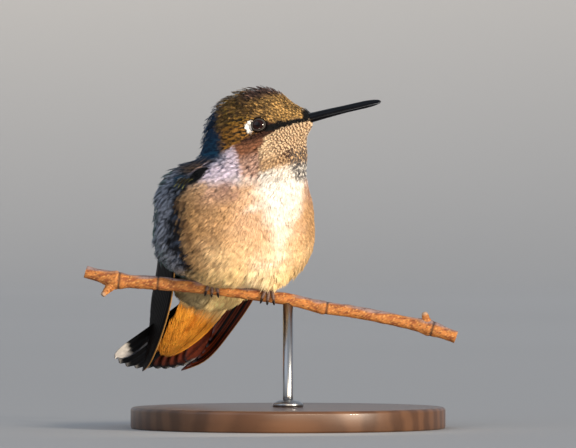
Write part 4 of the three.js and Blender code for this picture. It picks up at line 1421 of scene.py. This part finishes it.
def skin():
    points, quads = surface_net(above_skin, SKIN_LOW, SKIN_HIGH, SKIN_CELL)
    for _ in range(3):
        points = settle(points, -coat_depth(points), 1)
    points = off_twig(points, 0.12)
    edge, heart, _ = plumage(points)
    middle = points[quads].mean(axis=1)
    on_head = height_up_neck(middle) > NECK_HEIGHT
    uv = unwrap(points[quads], np.repeat(on_head[:, None], 4, axis=1))
    seam = np.ptp(uv[..., 0], axis=1) > ISLAND / 2
    low = uv[..., 0] < MARGIN + ISLAND / 2 + 0.5 * ~on_head[:, None]
    uv[..., 0] += ISLAND * (seam[:, None] & low)
    uv[..., 0] = np.minimum(uv[..., 0], np.where(on_head, 0.495, 0.995)[:, None])
    nodes = ["head", "neck", "trunk", "leg_right", "leg_left"]
    # Painted shade: the skin takes a darker mix of the feathers' colours, as the shade under the coat.
    body_piece("skin", bird_to_row(points), quads, "skin", nodes,
               lerp(edge, heart, 0.3) * 0.9, uv.reshape(-1, 2))


# ---------- the coat ----------


def unmoved(p, moved):
    """Which points are left where they were."""
    return span(moved - p) < 0.01


def clear_of_eyes(p):
    """Points of the bird, pushed out of the eyes' openings."""
    h = bird_to_head(p)
    x, z = h[..., 0] - EYE_AT[0], h[..., 2] - EYE_AT[2]
    reach = np.hypot(x / EYE_CLEAR[0], z / EYE_CLEAR[1])
    push = np.where((reach < 1) & (np.abs(h[..., 1]) > 4), 1 / np.maximum(reach, 0.05), 1)
    h = h.copy()
    h[..., 0] = EYE_AT[0] + x * push
    h[..., 2] = EYE_AT[2] + z * push
    return head_to_bird(h)


def head_roots(near, far):
    """Roots in rings round the bill, each ring's feathers between the last one's, and their spacing.

    near and far are the degrees between two rings beside the bill and further back.
    """
    rows, gaps, theta, ring = [], [], 5.5, 0
    while theta < 168:
        pitch = lerp(near, far, smooth(8, 75, theta))
        count = max(12, round(360 * math.sin(math.radians(theta)) / (pitch * 1.12)))
        turn = 2 * math.pi * (np.arange(count) + 0.5 * (ring % 2)) / count
        turn = turn + RNG.normal(size=count) * 0.09 * 2 * math.pi / count
        tilt = np.radians(theta + RNG.normal(size=count) * 0.09 * pitch)
        flat = np.sin(tilt)
        rows.append(np.stack([np.cos(tilt), flat * np.sin(turn), flat * np.cos(turn)], axis=1))
        gaps.append(np.full(count, math.radians(pitch)))
        theta += pitch
        ring += 1
    middle = head_to_bird(HEAD_CAST)
    roots = cast(middle, np.concatenate(rows) @ HEAD_AXES.T)
    spacing = np.concatenate(gaps) * span(roots - middle)
    above = height_up_neck(roots) > NECK_HEIGHT - 3.2 + 0.8 * ripple(roots, 4, 41)
    seen = unmoved(roots, clear_of_eyes(roots))
    return roots[above & seen], spacing[above & seen]


def trunk_roots():
    roots = cast(TRUNK_CAST, scattered_ways(24000))
    below = height_up_neck(roots) < NECK_HEIGHT + 3.2
    free = unmoved(roots, off_twig(roots, -0.4))
    roots = roots[below & free]
    for side in SIDES.values():
        roots = roots[~under_coverts(side, roots, 1.2)]
    return thin_out(roots, lerp(0.92, 1.25, smooth(70, 115, np.abs(turn_of(roots)))))


def dress(coat, roots, length, half, barbs, wide, lift, sway=0.35, **looks):
    """Grows feathers from roots into a coat. Lengths and widths vary a little from one to the next."""
    count = len(roots)
    length = length * (1 + 0.12 * RNG.normal(size=count).clip(-2, 2))
    half = half * (1 + 0.1 * RNG.normal(size=count).clip(-2, 2))
    lift = lift * RNG.uniform(0, 1, count)
    lines = feather_lines(roots, length, coat_depth(roots), lift, sway * RNG.normal(size=count))
    anchor = unwrap(roots, height_up_neck(roots) > NECK_HEIGHT)
    coat.add(lines, half, barbs, wide, plumage, anchor, **looks)


# For each: degrees between rings near and far, barbs, length and half-width in spacings, lift, looks.
HEAD_COATS = {
    "coat_crown": ((3.4, 8.2), 40, 2.1, 0.68, 0.75, {"cup": 0.3, "sway": 0.6, "vary": 0.28}),
    "coat_throat": ((3.3, 4.7), 36, 2.3, 0.7, 0.12, {"cup": 0.25, "vary": 0.06}),
    "coat_cheek": ((3.2, 5.4), 46, 3.0, 0.9, 0.1,
                   {"kind": "loose", "cup": 0.04, "spread": 0.55, "ruffle": 0.12, "flare": 1.25}),
}


def head_coat():
    for name, (rings, barbs, length, half, lift, looks) in HEAD_COATS.items():
        roots, spacing = head_roots(*rings)
        h = bird_to_head(roots)
        x, z = h[:, 0], h[:, 2]
        upper = z > np.interp(x, *CROWN_EDGE)
        throat = ~upper & (x > np.interp(z, *THROAT_EDGE))
        part = {"coat_crown": upper, "coat_throat": throat, "coat_cheek": ~upper & ~throat}[name]
        roots, x, z = roots[part], x[part], z[part]
        from_eye = np.hypot(x - EYE_AT[0], z - EYE_AT[2])
        spacing = spacing[part] * lerp(0.5, 1, smooth(1.8, 4.0, from_eye))
        wide = 0.13 + 0.05 * (spacing.mean() > 1)
        coat = Coat()
        dress(coat, roots, length * spacing, half * spacing, barbs, wide,
              lift=lerp(0.08, lift, smooth(11, 5, x)), **looks)
        coat.points = [clear_of_eyes(p) for p in coat.points]
        coat.build(name, "coat", "plumage_head")


def trunk_coat():
    roots = trunk_roots()
    turn, z = turn_of(roots), roots[:, 2]
    vent = (z < -12.2) & (roots[:, 0] < -1)
    front = (np.abs(turn) < 52) & ~vent
    back = (np.abs(turn) > 118) & ~vent
    parts = {
        "coat_breast": front & (z > 0.5),
        "coat_belly": front & (z <= 0.5),
        "coat_flank_right": ~front & ~back & ~vent & (turn < 0),
        "coat_flank_left": ~front & ~back & ~vent & (turn > 0),
        "coat_back": back,
        "coat_vent": vent,
    }
    for name, part in parts.items():
        coat = Coat()
        own = roots[part]
        out = np.abs(turn[part])
        hang = smooth(-4, -10, own[:, 2]) * smooth(-13, -10, own[:, 2]) * smooth(70, 50, out)
        fringe = smooth(82, 92, out) * smooth(116, 106, out) * smooth(-9, -5, own[:, 2])
        length = lerp(3.6, 5.0, smooth(8, -8, own[:, 2])) * (1 + 0.25 * hang + 0.25 * fringe)
        half = 1.3 - 0.35 * hang - 0.2 * fringe
        loose = {"kind": "loose", "flare": 1.2, "spread": 0.55, "ruffle": 0.13}
        looks = {"kind": "vaned"} if name == "coat_back" else loose
        lift = 0.15 + 1.5 * hang + 1.1 * fringe + 0.9 * (name == "coat_vent")
        dress(coat, own, length, half, barbs=52, wide=0.2, lift=lift, cup=0.04,
              sway=0.15 + 0.3 * fringe, **looks)
        coat.build(name, "coat", "plumage_body")


SCAPULAR_AT = np.array([[4.6, 12.6, 13.2], [3.4, 13.0, 13.2], [2.2, 13.4, 12.8]])
SCAPULAR_LENGTH = np.array([6.2, 5.8, 5.4])
SCAPULAR_HALF = np.array([1.0, 1.15, 1.15])


def scapular_plumage(p):
    shape = p.shape[:-1]
    return plain("scapular", shape), plain("dusk", shape), np.ones(p.shape) * [0.72, -1, 0.94]


def scapulars():
    """The few olive-edged feathers that hang from each shoulder beside its shaded gap."""
    coat = Coat()
    for side in SIDES.values():
        roots = cast(TRUNK_CAST, unit(SCAPULAR_AT * [1, side, 1] - TRUNK_CAST))
        lines = feather_lines(roots, SCAPULAR_LENGTH, coat_depth(roots), 1.1, np.full(3, -side * 1.3))
        anchor = unwrap(roots, np.zeros(3, bool))
        coat.add(lines, SCAPULAR_HALF, barbs=64, wide=0.16, colours=scapular_plumage, anchor=anchor)
    coat.build("coat_scapulars", "coat", "plumage_body")


def leg_coat():
    coat = Coat()
    for middle, lobe in zip(THIGHS.values(), LOBES[-2:]):
        roots = cast(middle, scattered_ways(1500))
        near = (outside_lobe(roots, lobe) < 0.8) & unmoved(roots, off_twig(roots, -0.3))
        roots = thin_out(roots[near], 0.8)
        dress(coat, roots, length=3.0, half=0.7, barbs=30, wide=0.18, lift=0.3, kind="loose")
    coat.build("coat_legs", "coat", "plumage_legs")


def coverts_coat(name, side):
    """The short feathers over the wing's roots."""
    roots = cast(TRUNK_CAST, scattered_ways(9000))
    roots = thin_out(roots[under_coverts(side, roots)], 1.6)
    coat = Coat()
    dress(coat, roots, length=4.4, half=1.4, barbs=44, wide=0.24, lift=0.3, sway=0.1)
    coat.build(f"coverts_{name}", "coat", "wing_coverts", [f"wing_{name}_coverts"])


# ---------- assembly ----------

skin()
head_coat()
trunk_coat()
scapulars()
leg_coat()
undertail()
tail()
bill()
for name, side in SIDES.items():
    coverts_coat(name, side)
    wing(name, side)
    eye(name, side)
    foot(name)
perch()
stand()
room()
studio()
